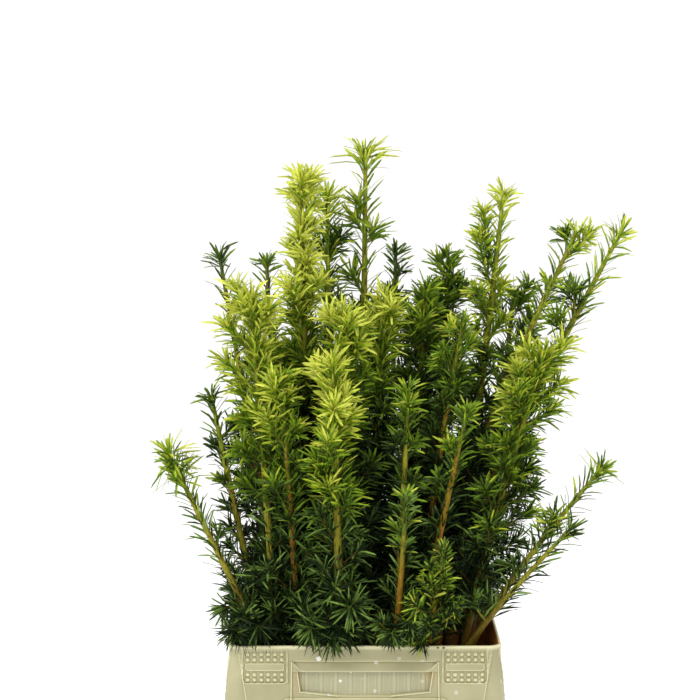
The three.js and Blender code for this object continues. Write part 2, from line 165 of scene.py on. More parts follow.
# How each stem differs, in the same order: twigs near its top from 0 to 1, its needles' pitch, how much
# deeper its tint is and its needles' length
LOOKS = [
    (0.0, 1.2, 1.2, 0.9), (0.7, 1.0, 0.35, 1.0), (0.5, 1.2, 0.3, 0.75), (0.8, 0.8, 0.8, 0.66),
    (0.1, 1.5, 1.0, 0.95), (0.1, 1.5, -0.6, 0.95), (0.1, 1.6, -0.3, 0.8), (1.0, 0.86, -0.85, 1.0),
    (0.8, 1.0, -1.2, 1.0), (0.9, 1.0, 0.6, 1.0), (0.3, 1.4, 0.7, 0.85), (0.5, 1.2, 0.6, 0.8),
    (1.0, 0.8, 0.05, 1.0), (0.0, 1.8, 0.1, 1.0), (0.0, 2.2, 0.0, 0.85), (0.6, 0.85, -0.6, 0.95),
    (0.7, 1.0, 0.5, 1.0), (0.9, 0.9, -0.1, 0.95), (0.5, 1.3, 0.5, 0.8), (0.0, 1.8, 0.45, 0.85),
    (0.0, 2.2, -0.6, 0.85), (0.2, 1.2, 0.5, 1.0), (0.0, 2.5, -0.1, 1.1), (0.3, 1.7, 0.0, 0.8),
    (0.8, 1.1, -0.4, 0.9), (0.0, 1.8, 0.4, 0.8), (0.4, 1.4, -0.5, 0.85), (0.7, 1.0, -0.6, 1.0),
    (0.8, 1.0, -1.6, 1.0),
]
# Side heads that the photo shows: height below the stem's tip, direction, rise, length and how much deeper
SIDE_HEADS = {
    2: ((95, 270, 20, 50, 0.0), (120, 330, 45, 48, 0.4), (203, 200, 48, 56, 0.6)),
    7: (
        (75, 20, 35, 40, 0.3), (115, 60, 32, 42, 0.5), (150, 200, 42, 30, 0.6), (152, 20, 30, 46, 0.7),
        (190, 170, 42, 32, 0.8), (222, 190, 40, 36, 1.0), (255, 172, 36, 42, 1.2), (290, 185, 30, 48, 1.4),
        (320, 178, 24, 52, 1.6),
    ),
    8: (
        (95, 185, 36, 66, 0.0), (150, 180, 36, 74, 0.3), (52, 190, 44, 40, 0.0), (60, 340, 40, 46, 0.0),
        (205, 182, 30, 44, 1.3), (250, 188, 28, 46, 1.8), (300, 178, 25, 46, 2.2),
    ),
    10: ((40, 200, 40, 44, 0.0), (80, 330, 40, 42, 0.4)),
    13: (
        (45, 0, 40, 64, 0.5), (90, 5, 28, 66, 0.9), (120, 350, 25, 60, 1.5), (170, 0, 34, 44, 1.4),
        (205, 8, 30, 56, 1.7), (240, 352, 26, 70, 1.9), (275, 5, 22, 72, 2.2), (310, 355, 20, 64, 2.4),
        (345, 10, 18, 60, 2.6), (36, 190, 46, 40, 0.2), (66, 150, 42, 46, 0.5), (100, 200, 40, 48, 0.9),
    ),
    14: ((125, 200, 40, 42, 2.6), (165, 240, 35, 52, 1.6)),
    15: (
        (270, 10, 40, 36, 1.0), (290, 190, 40, 34, 1.0), (325, 170, 35, 38, 1.2), (365, 190, 32, 42, 1.4),
        (405, 175, 30, 46, 1.6), (445, 185, 26, 50, 1.8), (480, 180, 24, 50, 2.0),
    ),
    16: ((45, 10, 60, 44, 0.0), (170, 290, 55, 56, 0.5), (229, 250, 40, 96, 1.0)),
    17: ((60, 300, 40, 50, 0.3),),
    19: ((70, 5, 42, 44, 0.8), (95, 190, 40, 40, 0.8), (120, 350, 38, 46, 1.0)),
    20: (
        (34, 180, 55, 30, 3.0), (52, 5, 36, 60, 0.3), (440, 0, 24, 64, 2.2), (475, 355, 20, 66, 2.4),
        (505, 5, 18, 66, 2.5),
    ),
    22: ((100, -30, 45, 46, 3.4), (105, 160, 45, 40, 3.0)),
    23: ((139, 180, 48, 40, 0.6), (154, -10, 50, 34, 1.6), (230, 160, 50, 50, 0.4)),
    24: ((130, 200, 45, 56, 1.4), (170, 330, 45, 60, 1.6), (210, 190, 45, 60, 1.8)),
    25: ((85, 0, 45, 50, 0.6), (120, 190, 45, 56, 0.8), (165, 330, 45, 60, 1.2), (200, 200, 45, 60, 1.4)),
    26: (
        (135, 190, 70, 108, 0.6), (158, 205, 64, 96, 0.9), (175, 350, 50, 40, 0.3), (205, 195, 55, 60, 0.6),
        (230, 345, 45, 50, 0.9),
    ),
    27: (
        (40, 20, 45, 56, -0.2), (66, 185, 48, 50, 0.1), (92, 10, 42, 66, 0.2), (125, 350, 40, 70, 0.4),
        (170, 0, 34, 56, 1.2), (215, 10, 30, 60, 1.5), (260, 350, 28, 64, 1.8), (300, 5, 26, 66, 2.1),
        (340, 0, 24, 70, 2.3), (375, 10, 20, 70, 2.5),
    ),
}
# Heads that hang out over the front rim, by the height of their root on the stem
RIM_HEADS = {
    1: ((326, 248, -12, 74, 0.2), (344, 215, -4, 44, -0.4)),
    2: ((330, 237, -12, 86, 0.3), (318, 258, -10, 76, 0.5), (352, 285, -4, 70, -0.2)),
    3: ((326, 262, -10, 74, 0.2), (340, 285, -8, 74, 0.4)),
    8: ((324, 240, -12, 108, 0.0), (330, 257, -10, 104, 0.3)),
}
# Where the photo looks past the needles into the container: spans of x, y and, at the front rim, z
# that all but the placed heads keep out of
HOLLOWS = np.array([
    [(100.0, 270.0), (-200.0, 150.0), (288.0, 352.0)],
    [(180.0, 300.0), (-200.0, 150.0), (288.0, 405.0)],
])
# Where the photo shows the right rim bare of needles
BARE_RIM = np.array([(140.0, 300.0), (-200.0, 150.0), (284.0, 352.0)])
# How fast those spaces fall towards the back
HOLLOW_FALL = 0.208
HOLLOW_SIDE = 170
# The low twigs reach no further to the left than the photo's do
LEFT_REACH = -196
LEFT_BELOW = 400
HEAD_ROOM = -14
# A side head is coloured as if its depth below the stem's tip were this share of what it is
HEAD_NEARER = 0.35

# Tufts of needles at the tips: how many, over what depth, their length share, their lowest rise and how
# much lighter they are
PLAIN_TUFT = (26, 14, 1.0, 16, 0.3)
TWIG_TUFT = (16, 14, 1.0, 16, 1.0)
BIG_TUFTS = {
    1: (84, 32, 1.3, -25, 0.8), 14: (34, 18, 1.05, 10, 0.0), 16: (46, 24, 1.0, 16, 0.4),
    20: (34, 18, 1.05, 10, 0.0), 22: (44, 20, 1.1, 10, 0.3), 23: (44, 20, 1.2, 10, 0.6),
}
# How far the bark and the needles end before a shoot's tip
TIP_BACK = 8

# Finer twigs between the side twigs
FINE_PITCH = 5
FINE_FIRST = 12
FINE_STRAY = 0.8
FINE_LENGTH = (24, 72)
FINE_BELOW = 34
FINE_GIRTH = 2.6
FINE_RISE = (0.35, 1.2)
FINE_RISE_STRAY = 0.35
# Below a stem's top they are this much longer. At its top they are shorter and fewer, least so on a bushy
# stem
FINE_LONGER = 1.1
FINE_TOP_LENGTH = (0.4, 0.95)
FINE_TOP_CHANCE = (0.0, 0.9)
# The top is the last 120 mm of a stem, and fades over the next 200
TOP_SHARE = 1.6
TOP_FADE = 200
# Between these heights few twigs grow outwards, so that the stems show
BARE_Z = (380, 710)
BARE_CHANCE = 0.25
BARE_OUTSIDE = 0.5
BARE_OUTWARD = 0.2

# The fringe hangs out over the container's rim from the stems at its edge
FRINGE_TWIGS = 6
FRINGE_SPREAD = math.radians(75)
FRINGE_RISE = (math.radians(-12), math.radians(14))
FRINGE_HEIGHT = (20, 62)
FRINGE_LENGTH = (44, 82)

TWIG_TIP_GIRTH = 1.6
# The share of a twig's length by which its tip is taken to be higher than its root
TWIG_CLIMB = 0.8
# The room that each kind of twig keeps to its own side, and the shortest that it may be
ROOMS = {
    "side": (TWIG_ROOM, SHORTEST_TWIG), "fine": (-8, 20), "fringe": (-4, 20), "head": (HEAD_ROOM, 20),
    "rim": (HEAD_ROOM - 4, 30),
}

# The crown's half sizes at the rim, how fast they grow upwards and how far its axis leans to the right, for
# shading needles by how deep inside they are
CROWN_HALF = (185, 132)
CROWN_SPREAD = (0.17, 0.1)
CROWN_LEAN = 0.1
CROWN_UPWARD = 0.3


def between(low, high, share):
    return low + (high - low) * share


class Draw:
    """A seeded run of numbers from 0 to 1, the same as in the solids."""

    def __init__(self, seed):
        self.state = seed

    def __call__(self):
        self.state = (self.state * 1664525 + 1013904223) % 2**32
        return self.state / 2**32


def unit(vectors):
    vectors = np.asarray(vectors, float)
    return vectors / np.maximum(np.linalg.norm(vectors, axis=-1, keepdims=True), 1e-9)


def bezier(points, shares):
    """Points and tangents of a Bezier curve of any degree."""
    shares = np.atleast_1d(np.asarray(shares, float))[:, None]
    points = np.asarray(points, float)

    def blend(corners):
        degree = len(corners) - 1
        return sum(
            math.comb(degree, k) * (1 - shares) ** (degree - k) * shares**k * corners[k]
            for k in range(degree + 1)
        )

    return blend(points), unit(blend(np.diff(points, axis=0)))


def curve_length(points):
    places, _ = bezier(points, np.linspace(0, 1, LENGTH_STEPS + 1))
    return np.linalg.norm(np.diff(places, axis=0), axis=1).sum()


def frames(tangents):
    """Two directions square to each tangent, the first as near to +X as it can be."""
    steep = np.abs(tangents[:, :1]) < STEEP
    hint = np.where(steep, [[1.0, 0.0, 0.0]], [[0.0, 0.0, -1.0]])
    across = unit(hint - tangents * (hint * tangents).sum(1, keepdims=True))
    return across, np.cross(tangents, across)


def stem_points(foot, tip, lean):
    start = np.array([*foot, FLOOR + GAP])
    end = np.array(tip, float)
    height = end[2] - start[2]
    away = unit((end - start) * [1, 1, 0]) * lean
    low = start + [0, 0, UPRIGHT_SHARE * height]
    high = end - (away + UP) * LEANING_SHARE * height
    return np.array([start, low, high, end])


def on_edge(foot):
    return abs(foot[0]) > EDGE_HALF[0] or abs(foot[1]) > EDGE_HALF[1]


def share_at_height(points, z):
    low, high = 0.0, 1.0
    for _ in range(HALVINGS):
        middle = (low + high) / 2
        if bezier(points, middle)[0][0, 2] < z:
            low = middle
        else:
            high = middle
    return low


def make_plants():
    plants = []
    for index, ((foot, tip, lean, girth, tint), look) in enumerate(zip(STEMS, LOOKS)):
        points = stem_points(foot, tip, lean)
        edge = on_edge(foot)
        start = share_at_height(points, NEEDLES_FROM_EDGE if edge else NEEDLES_FROM_INSIDE)
        path, _ = bezier(points, np.linspace(0, 1, PATH_STEPS + 1))
        bushy, pitch, deeper, longer = look
        plants.append({
            "index": index, "number": index + 1, "points": points, "edge": edge, "from": start,
            "girth": girth, "tint": tint, "path": path, "length": curve_length(points),
            "bushy": bushy, "pitch": pitch, "deeper": deeper, "longer": longer,
        })
    return plants


plants = make_plants()
PATHS = np.array([plant["path"] for plant in plants])
FOLIAGE = [f"foliage_{plant['number']:02d}" for plant in plants]


def path_distances(places):
    """Distance of each place to each stem's path."""
    start = PATHS[:, :-1]
    run = PATHS[:, 1:] - start
    offset = places[:, None, None, :] - start[None]
    along = np.clip((offset * run).sum(-1) / (run * run).sum(-1), 0, 1)
    return np.linalg.norm(offset - along[..., None] * run, axis=-1).min(-1)


def body_half(z):
    return FOOT_HALF + np.outer(np.atleast_1d(z) / CONTAINER_HEIGHT, RIM_HALF - RIM_WALL + WALL - FOOT_HALF)


def collar_half(z):
    share = (np.atleast_1d(z) - COLLAR_FOOT_Z) / (CONTAINER_HEIGHT - LIP_HEIGHT - COLLAR_FOOT_Z)
    return COLLAR_FOOT_HALF + np.outer(share, COLLAR_TOP_HALF - COLLAR_FOOT_HALF)


def clear_of_container(places, extra):
    z = places[:, 2]
    reach = np.abs(places[:, :2])
    inside = (reach < body_half(z) - WALL - extra).all(1)
    outer = np.where(z[:, None] > CONTAINER_HEIGHT - LIP_HEIGHT, RIM_HALF, collar_half(z))
    outside = (reach > outer + extra + LEDGE_RISE).any(1)
    return (z > CONTAINER_HEIGHT + extra) | inside | outside


def has_room(places, plant, room):
    distances = path_distances(places)
    own = distances[:, plant["index"]]
    others = np.delete(distances, plant["index"], axis=1).min(1)
    bare = bezier(plant["points"], plant["from"])[0][0, 2]
    off_stem = (places[:, 2] > bare) | (own > plant["girth"])
    return (clear_of_container(places, CONTAINER_ROOM) & off_stem & ((others - own) / 2 > room)).all()


def twig_points(root, outward, rise, length):
    start = outward * math.cos(rise) + UP * math.sin(rise)
    finish = outward * math.cos(rise + TWIG_TURN_UP) + UP * math.sin(rise + TWIG_TURN_UP)
    middle = root + start * length / 2
    return np.array([root, middle, middle + finish * length / 2])


def fitted_twig(root, outward, rise, length, plant, room, shortest):
    reach = length
    while reach >= shortest:
        points = twig_points(root, outward, rise, reach)
        probes, _ = bezier(points, np.arange(1, TWIG_STEPS + 1) / TWIG_STEPS)
        if has_room(probes, plant, room):
            return points, reach
        reach *= SHRINK
    return None


def twig_plan(plant, draw):
    """Height, direction, rise and length of each side twig, by the solids' rule."""
    leafy = plant["length"] * (1 - plant["from"])
    plan = []
    if plant["edge"]:
        place = bezier(plant["points"], plant["from"])[0][0]
        outward = math.atan2(place[1], place[0])
        for twig in range(SKIRT_TWIGS):
            spread = SKIRT_SPREAD * (twig - (SKIRT_TWIGS - 1) / 2)
            rise = SKIRT_RISE * (0.5 + draw())
            plan.append((SKIRT_FIRST + SKIRT_PITCH * twig, outward + spread, rise, SKIRT_LENGTH))
    phase = 2 * math.pi * draw()
    for twig in range(math.floor((leafy - TWIG_FIRST - TWIG_LENGTH[1]) / TWIG_PITCH) + 1):
        height = TWIG_FIRST + TWIG_PITCH * (twig + TWIG_STRAY * (draw() - 0.5))
        length = between(*TWIG_LENGTH, height / leafy) * between(*TWIG_LENGTH_STRAY, draw())
        plan.append((height, phase + GOLDEN_TURN * twig, TWIG_RISE, length))
    return plan


def crown_place(places):
    """Places across and along from the bunch's axis, and the crown's half sizes at their heights."""
    up = np.clip(places[:, 2] - CONTAINER_HEIGHT, 0, None)
    halves = [half + spread * up for half, spread in zip(CROWN_HALF, CROWN_SPREAD)]
    return places[:, 0] - CROWN_LEAN * up, places[:, 1], *halves


def outwardness(places):
    """0 on the bunch's axis and 1 at the crown's outside."""
    x, y, half_x, half_y = crown_place(places)
    return np.hypot(x / half_x, y / half_y)


def crown_outward(places):
    """Direction from the bunch's axis outwards at each place, a little upwards."""
    x, y, half_x, half_y = crown_place(places)
    x, y = x / half_x**2, y / half_y**2
    return unit(np.stack([x, y, CROWN_UPWARD * np.hypot(x, y)], axis=1))


def fine_plan(plant, draw):
    """Finer side twigs between the main ones, carried on by the same rule."""
    leafy = plant["length"] * (1 - plant["from"])
    phase = 2 * math.pi * draw()
    plan = []
    for twig in range(int((leafy - FINE_BELOW) / FINE_PITCH)):
        height = FINE_FIRST + FINE_PITCH * (twig + FINE_STRAY * (draw() - 0.5))
        top = min(max(TOP_SHARE - (leafy - height) / TOP_FADE, 0), 1)
        length = between(*FINE_LENGTH, draw())
        length *= between(FINE_LONGER, between(*FINE_TOP_LENGTH, plant["bushy"]), top)
        rise = TWIG_RISE * between(*FINE_RISE, min(height / leafy + FINE_RISE_STRAY * draw(), 1))
        angle = phase + GOLDEN_TURN * twig
        place = bezier(plant["points"], between(plant["from"], 1, height / leafy))[0][0]
        outward = (place[0] * math.cos(angle) + place[1] * math.sin(angle)) / math.hypot(place[0], place[1])
        bare = outward > BARE_OUTWARD and BARE_Z[0] < place[2] < BARE_Z[1]
        chance = between(1.0, between(*FINE_TOP_CHANCE, plant["bushy"]), top)
        if bare and outwardness(place[None])[0] > BARE_OUTSIDE:
            chance *= BARE_CHANCE
        if draw() < chance:
            plan.append((height, angle, rise, length))
    return plan


def fringe_plan(plant, draw):
    fringe = []
    if plant["edge"]:
        place = bezier(plant["points"], plant["from"])[0][0]
        outward = math.atan2(place[1], place[0])
        for _ in range(FRINGE_TWIGS):
            angle = outward + FRINGE_SPREAD * (2 * draw() - 1)
            rise = between(*FRINGE_RISE, draw())
            fringe.append((between(*FRINGE_HEIGHT, draw()), angle, rise, between(*FRINGE_LENGTH, draw())))
    return fringe


def head_plans(plant):
    """Share of the stem's curve, direction, rise, length and tint of each side head and rim head."""
    tip = plant["points"][-1][2]
    number = plant["number"]
    places = [("head", tip - row[0], row) for row in SIDE_HEADS.get(number, ())]
    places += [("rim", row[0], row) for row in RIM_HEADS.get(number, ())]
    return [
        (kind, share_at_height(plant["points"], z), math.radians(angle), math.radians(rise), length, deeper)
        for kind, z, (_, angle, rise, length, deeper) in places
    ]


def at_front_rim(places):
    """Places at the height where the camera sees them in the plane of the front rim."""
    return places + UP * HOLLOW_FALL * (places[..., 1:2] + RIM_HALF[1])


def within(places, spans):
    return ((places > spans[..., 0]) & (places < spans[..., 1])).all(-1)


def keeps_out(kind, tip):
    """Whether a twig of this kind stays away from a place, because the photo shows none there."""
    if kind in ("head", "rim"):
        return False
    if tip[0] < LEFT_REACH and tip[2] < LEFT_BELOW:
        return True
    return (kind != "side" or tip[0] > HOLLOW_SIDE) and within(at_front_rim(tip), HOLLOWS).any()


def make_shoots():
    """Every leafy shoot: its curve, where its needles begin, its girths and its depth below the tip."""
    shoots = []
    for plant in plants:
        draw = Draw(SEED_STEP * plant["number"])
        fine_draw = Draw(SEED_STEP * plant["number"] + FINE_SEED)
        start = plant["from"] + GAP / 2 / plant["length"]
        leafy = plant["length"] * (1 - start)
        shoots.append({
            "plant": plant, "points": plant["points"], "from": start, "length": leafy,
            "girths": None, "below": 0.0, "kind": "leader", "deeper": 0.0, "order": 0,
        })
        plans = {
            "side": twig_plan(plant, draw), "fine": fine_plan(plant, fine_draw),
            "fringe": fringe_plan(plant, fine_draw),
        }
        jobs = [
            (kind, start + height / leafy * (1 - start), angle, rise, length, 0.0)
            for kind, plan in plans.items() for height, angle, rise, length in plan
        ]
        jobs += head_plans(plant)
        for order, (kind, share, angle, rise, length, deeper) in enumerate(jobs, 1):
            root = bezier(plant["points"], share)[0][0]
            outward = np.array([math.cos(angle), math.sin(angle), 0.0])
            fitted = fitted_twig(root, outward, rise, length, plant, *ROOMS[kind])
            if not fitted or keeps_out(kind, fitted[0][-1]):
                continue
            points, reach = fitted
            girth = FINE_GIRTH if kind in ("fine", "fringe") else TWIG_GIRTH
            below = plant["points"][-1][2] - root[2] - reach * TWIG_CLIMB
            shoots.append({
                "plant": plant, "points": points, "from": 0.0, "length": reach, "kind": kind,
                "girths": (girth, TWIG_TIP_GIRTH), "deeper": deeper, "order": order,
                "below": below * HEAD_NEARER if kind == "head" else below,
            })
    return shoots


def new_object(name, data):
    made = bpy.data.objects.new(name, data)
    bpy.context.scene.collection.objects.link(made)
    return made


def mesh_object(name, places, faces, material, body="root", smooth=False):
    mesh = bpy.data.meshes.new(name)
    mesh.from_pydata((np.asarray(places) * MM).tolist(), [], faces)
    mesh.validate()
    mesh.update()
    mesh.materials.append(material)
    if smooth:
        mesh.shade_smooth()
    piece = new_object(name, mesh)
    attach(piece, body)
    return piece


# Materials
def node_material(name):
    material = bpy.data.materials.new(name)
    material.use_nodes = True
    tree = material.node_tree
    return material, tree, tree.nodes["Principled BSDF"]


def set_inputs(tree, node, inputs):
    """Link each input of a node to a socket, or give it a value."""
    for key, value in inputs.items():
        if isinstance(value, bpy.types.NodeSocket):
            tree.links.new(value, node.inputs[key])
        else:
            node.inputs[key].default_value = value


def add(tree, kind, inputs, **settings):
    node = tree.nodes.new(kind)
    for key, value in settings.items():
        setattr(node, key, value)
    set_inputs(tree, node, inputs)
    return node


def own_place(tree):
    return add(tree, "ShaderNodeTexCoord", {}).outputs["Object"]


def noise(tree, place, scale, detail, roughness):
    inputs = {"Vector": place, "Scale": scale, "Detail": detail, "Roughness": roughness}
    return add(tree, "ShaderNodeTexNoise", inputs).outputs["Fac"]


def ramp(tree, factor, stops, colours):
    node = add(tree, "ShaderNodeValToRGB", {"Fac": factor})
    elements = node.color_ramp.elements
    while len(elements) < len(stops):
        elements.new(0.5)
    for element, position, colour in zip(elements, stops, colours):
        element.position = position
        element.color = (*colour, 1.0)
    return node.outputs["Color"]


def math_node(tree, operation, first, second=0.0):
    return add(tree, "ShaderNodeMath", {0: first, 1: second}, operation=operation).outputs["Value"]


def product(tree, first, *others):
    for other in others:
        first = math_node(tree, "MULTIPLY", first, other)
    return first


def spread(tree, value, low, high, to_low=0.0, to_high=1.0):
    """A value mapped from one range to another and kept within it."""
    ranges = {"From Min": low, "From Max": high, "To Min": to_low, "To Max": to_high}
    return add(tree, "ShaderNodeMapRange", {"Value": value, **ranges}).outputs["Result"]


def blend(tree, factor, first, second, kind="MIX"):
    second = second if isinstance(second, bpy.types.NodeSocket) else (*second, 1)
    inputs = {"Factor": factor, 6: first, 7: second}
    return add(tree, "ShaderNodeMix", inputs, data_type="RGBA", blend_type=kind).outputs[2]


def finish_surface(tree, shader, colour, bumps, surface):
    """Join a colour and bumps to the shader, and set its roughness and shine and the bumps' size."""
    roughness, specular, strength, distance = surface
    bump = add(tree, "ShaderNodeBump", {"Strength": strength, "Distance": distance, "Height": bumps})
    set_inputs(tree, shader, {
        "Base Color": colour, "Roughness": roughness, "Specular IOR Level": specular,
        "Normal": bump.outputs["Normal"],
    })


# Noises by their scale, detail and roughness, and the range of their values that is used
NOISE_RANGE = (0.3, 0.7)
NEEDLE_MOTTLE = (55.0, 3.0, 0.55)
NEEDLE_GRAIN = (900.0, 3.0, 0.55)
PATCHES = (26.0, 3.0, 0.55)
STREAKS = (620.0, 4.0, 0.6)
SCARS = (150.0, 2.0, 0.4)
CLOUDS = (9.0, 5.0, 0.55)
GRIME = (38.0, 4.0, 0.6)
GLOSS = (30.0, 4.0, 0.55)
PLASTIC_GRAIN = (700.0, 3.0, 0.55)
GLOSS_ROUGHNESS = (0.32, 0.55)
# Surfaces by their roughness, their shine, and their bumps' strength and height in metres
NEEDLE_SURFACE = (0.42, 0.12, 0.25, 0.0004)
BARK_SURFACE = (0.5, 0.12, 0.5, 0.0005)
PLASTIC_SHINE = (0.5, 0.15, 0.0004)
PLASTIC_GLOW = 0.05
PLASTIC_GLOW_REACH = (0.004, 0.003, 0.002)
NEEDLE_STOPS = (0.3, 0.52, 0.72)
NEEDLE_SHADES = (0.72, 1.0, 1.3)


def needle_material(name, colour):
    material, tree, shader = node_material(name)
    place = own_place(tree)
    shades = [[min(channel * shade, 1.0) for channel in colour] for shade in NEEDLE_SHADES]
    mottled = ramp(tree, noise(tree, place, *NEEDLE_MOTTLE), NEEDLE_STOPS, shades)
    grain = noise(tree, place, *NEEDLE_GRAIN)
    finish_surface(tree, shader, mottled, grain, NEEDLE_SURFACE)
    return material


BARK_STOPS = (0.05, 0.4, 0.82, 1.0)
BARK_PATCH_STOPS = (0.3, 0.45, 0.58, 0.7)
BARK_SCAR = (0.16, 0.05, 0.02)
# How far the patches shift a height, and how dark and light the streaks are
BARK_SHIFT = (-0.3, 0.3)
BARK_STREAKS = (0.42, 1.5)
BARK_SCARS = (0.66, 0.72)
STREAK_STRETCH = (1.0, 1.0, 0.12)


def bark_material(name, colours, climbs=True):
    """Bark in lengthwise streaks, whose colours follow the height along a stem or are mixed by patches."""
    material, tree, shader = node_material(name)
    coordinates = add(tree, "ShaderNodeTexCoord", {})
    place = coordinates.outputs["Object"]
    patches = noise(tree, place, *PATCHES)
    if climbs:
        height = add(tree, "ShaderNodeSeparateXYZ", {"Vector": coordinates.outputs["Generated"]})
        shift = spread(tree, patches, *NOISE_RANGE, *BARK_SHIFT)
        patches = math_node(tree, "ADD", height.outputs["Z"], shift)
    colour = ramp(tree, patches, BARK_STOPS if climbs else BARK_PATCH_STOPS, colours)
    stretched = add(tree, "ShaderNodeMapping", {"Vector": place, "Scale": STREAK_STRETCH}).outputs["Vector"]
    streaks = noise(tree, stretched, *STREAKS)
    streaked = blend(tree, 1.0, colour, spread(tree, streaks, *NOISE_RANGE, *BARK_STREAKS), "MULTIPLY")
    scars = spread(tree, noise(tree, place, *SCARS), *BARK_SCARS)
    colour = blend(tree, scars, streaked, BARK_SCAR)
    finish_surface(tree, shader, colour, streaks, BARK_SURFACE)
    return material


# The container's colours, and the places in metres where they are
PLASTIC = ((0.33, 0.305, 0.165), (0.38, 0.355, 0.195), (0.43, 0.405, 0.23))
PLASTIC_STOPS = (0.35, 0.5, 0.65)
# Painted highlight for the raised edges and the lip
PLASTIC_HIGHLIGHT = (0.76, 0.72, 0.44)
# Painted shade for the hollows of the container's relief
PLASTIC_HOLLOW_SHADE = (0.28, 0.255, 0.15)
STAIN = (0.42, 0.30, 0.13)
DROP = (0.78, 0.80, 0.72)
# Painted light: the orange-brown glow of light through the shaded plastic of the inner walls
INNER_WALL_GLOW = (0.62, 0.24, 0.045)
SLOT_SHADE = (0.09, 0.055, 0.012)
# Painted shade: the recessed ribbed panels darker and greyer, and how much of it
PANEL_SHADE = (0.36, 0.350, 0.225)
PANEL_SHADE_SHARE = 0.7
# From none to all of each painted mark, with its shares: painted shade in hollows and painted highlights on
# edges by pointiness, a painted highlight on the lip by height
HOLLOW_SHADE_SPAN = (0.49, 0.42, 0.0, 0.6)
EDGE_HIGHLIGHT_SPAN = (0.505, 0.57, 0.0, 0.85)
LIP_HIGHLIGHT_SPAN = (0.2935, 0.2985, 0.0, 0.75)
# From none to all of a panel at its top, its foot and its ends, and of the stain at its ends
PANEL_TOP = (0.266, 0.262)
PANEL_FOOT = (0.232, 0.235)
PANEL_END = (0.099, 0.097)
STAIN_END = (0.076, 0.097)
# Drops: how close they are, which places have one and how big, its soft edge, and from few to all of them
# below the rim, above the foot and towards the left
DROP_SCALE = 62.0
DROP_SIZE = (0.62, 1.0, 0.0, 0.24)
DROP_EDGE = 0.02
DROPS_BELOW = (0.286, 0.284)
DROPS_ABOVE = (0.205, 0.215, 0.15, 1.0)
DROPS_LEFTWARD = (0.03, -0.03, 0.3, 1.0)
# The holes: their places, how much wider than high they are, how far in front they begin, and their edge
SLOT_X = (0.102, 0.110)
SLOT_Z = 0.2975
SLOT_SQUEEZE = 1.6
SLOT_FRONT = (-0.140, -0.141)
SLOT_EDGE = (0.0024, 0.0017)
# Where the inside gets its painted glow: no further out than this, and how far a wall has to face inwards
INNER_REACH = (0.1885, 0.1390)
INNER_FACING = (-0.03, -0.06)


def shaded_stained_panels(tree, colour, place, axes, side):
    """The ribbed panels of the long faces, darker and greyer with painted shade over the recess, and stained
    at their outer ends.
    """
    panel = product(
        tree, spread(tree, axes["Z"], *PANEL_TOP), spread(tree, axes["Z"], *PANEL_FOOT),
        spread(tree, side, *PANEL_END),
    )
    grime = spread(tree, noise(tree, place, *GRIME), *NOISE_RANGE)
    stain = product(tree, panel, grime, spread(tree, side, *STAIN_END))
    # Painted shade over the recessed panel
    colour = blend(tree, product(tree, panel, PANEL_SHADE_SHARE), colour, PANEL_SHADE)
    return blend(tree, stain, colour, STAIN)


def add_drops(tree, colour, place, axes):
    """Drops of water below the rim, most of them on the left."""
    cells = add(tree, "ShaderNodeTexVoronoi", {"Vector": place, "Scale": DROP_SCALE, "Randomness": 1.0})
    picked = add(tree, "ShaderNodeSeparateColor", {"Color": cells.outputs["Color"]}).outputs["Red"]
    inward = math_node(tree, "SUBTRACT", spread(tree, picked, *DROP_SIZE), cells.outputs["Distance"])
    drops = product(
        tree, spread(tree, inward, 0.0, DROP_EDGE), spread(tree, axes["Z"], *DROPS_BELOW),
        spread(tree, axes["Z"], *DROPS_ABOVE), spread(tree, axes["X"], *DROPS_LEFTWARD),
    )
    return blend(tree, drops, colour, DROP)


def add_slots(tree, colour, axes):
    """Two small dark holes in the front lip."""
    up = product(tree, math_node(tree, "SUBTRACT", axes["Z"], SLOT_Z), SLOT_SQUEEZE)
    front = spread(tree, axes["Y"], *SLOT_FRONT)
    for slot_x in SLOT_X:
        across = math_node(tree, "SUBTRACT", axes["X"], slot_x)
        squares = math_node(tree, "ADD", product(tree, across, across), product(tree, up, up))
        away = math_node(tree, "SQRT", squares)
        hole = product(tree, spread(tree, away, *SLOT_EDGE), front)
        colour = blend(tree, hole, colour, SLOT_SHADE)
    return colour


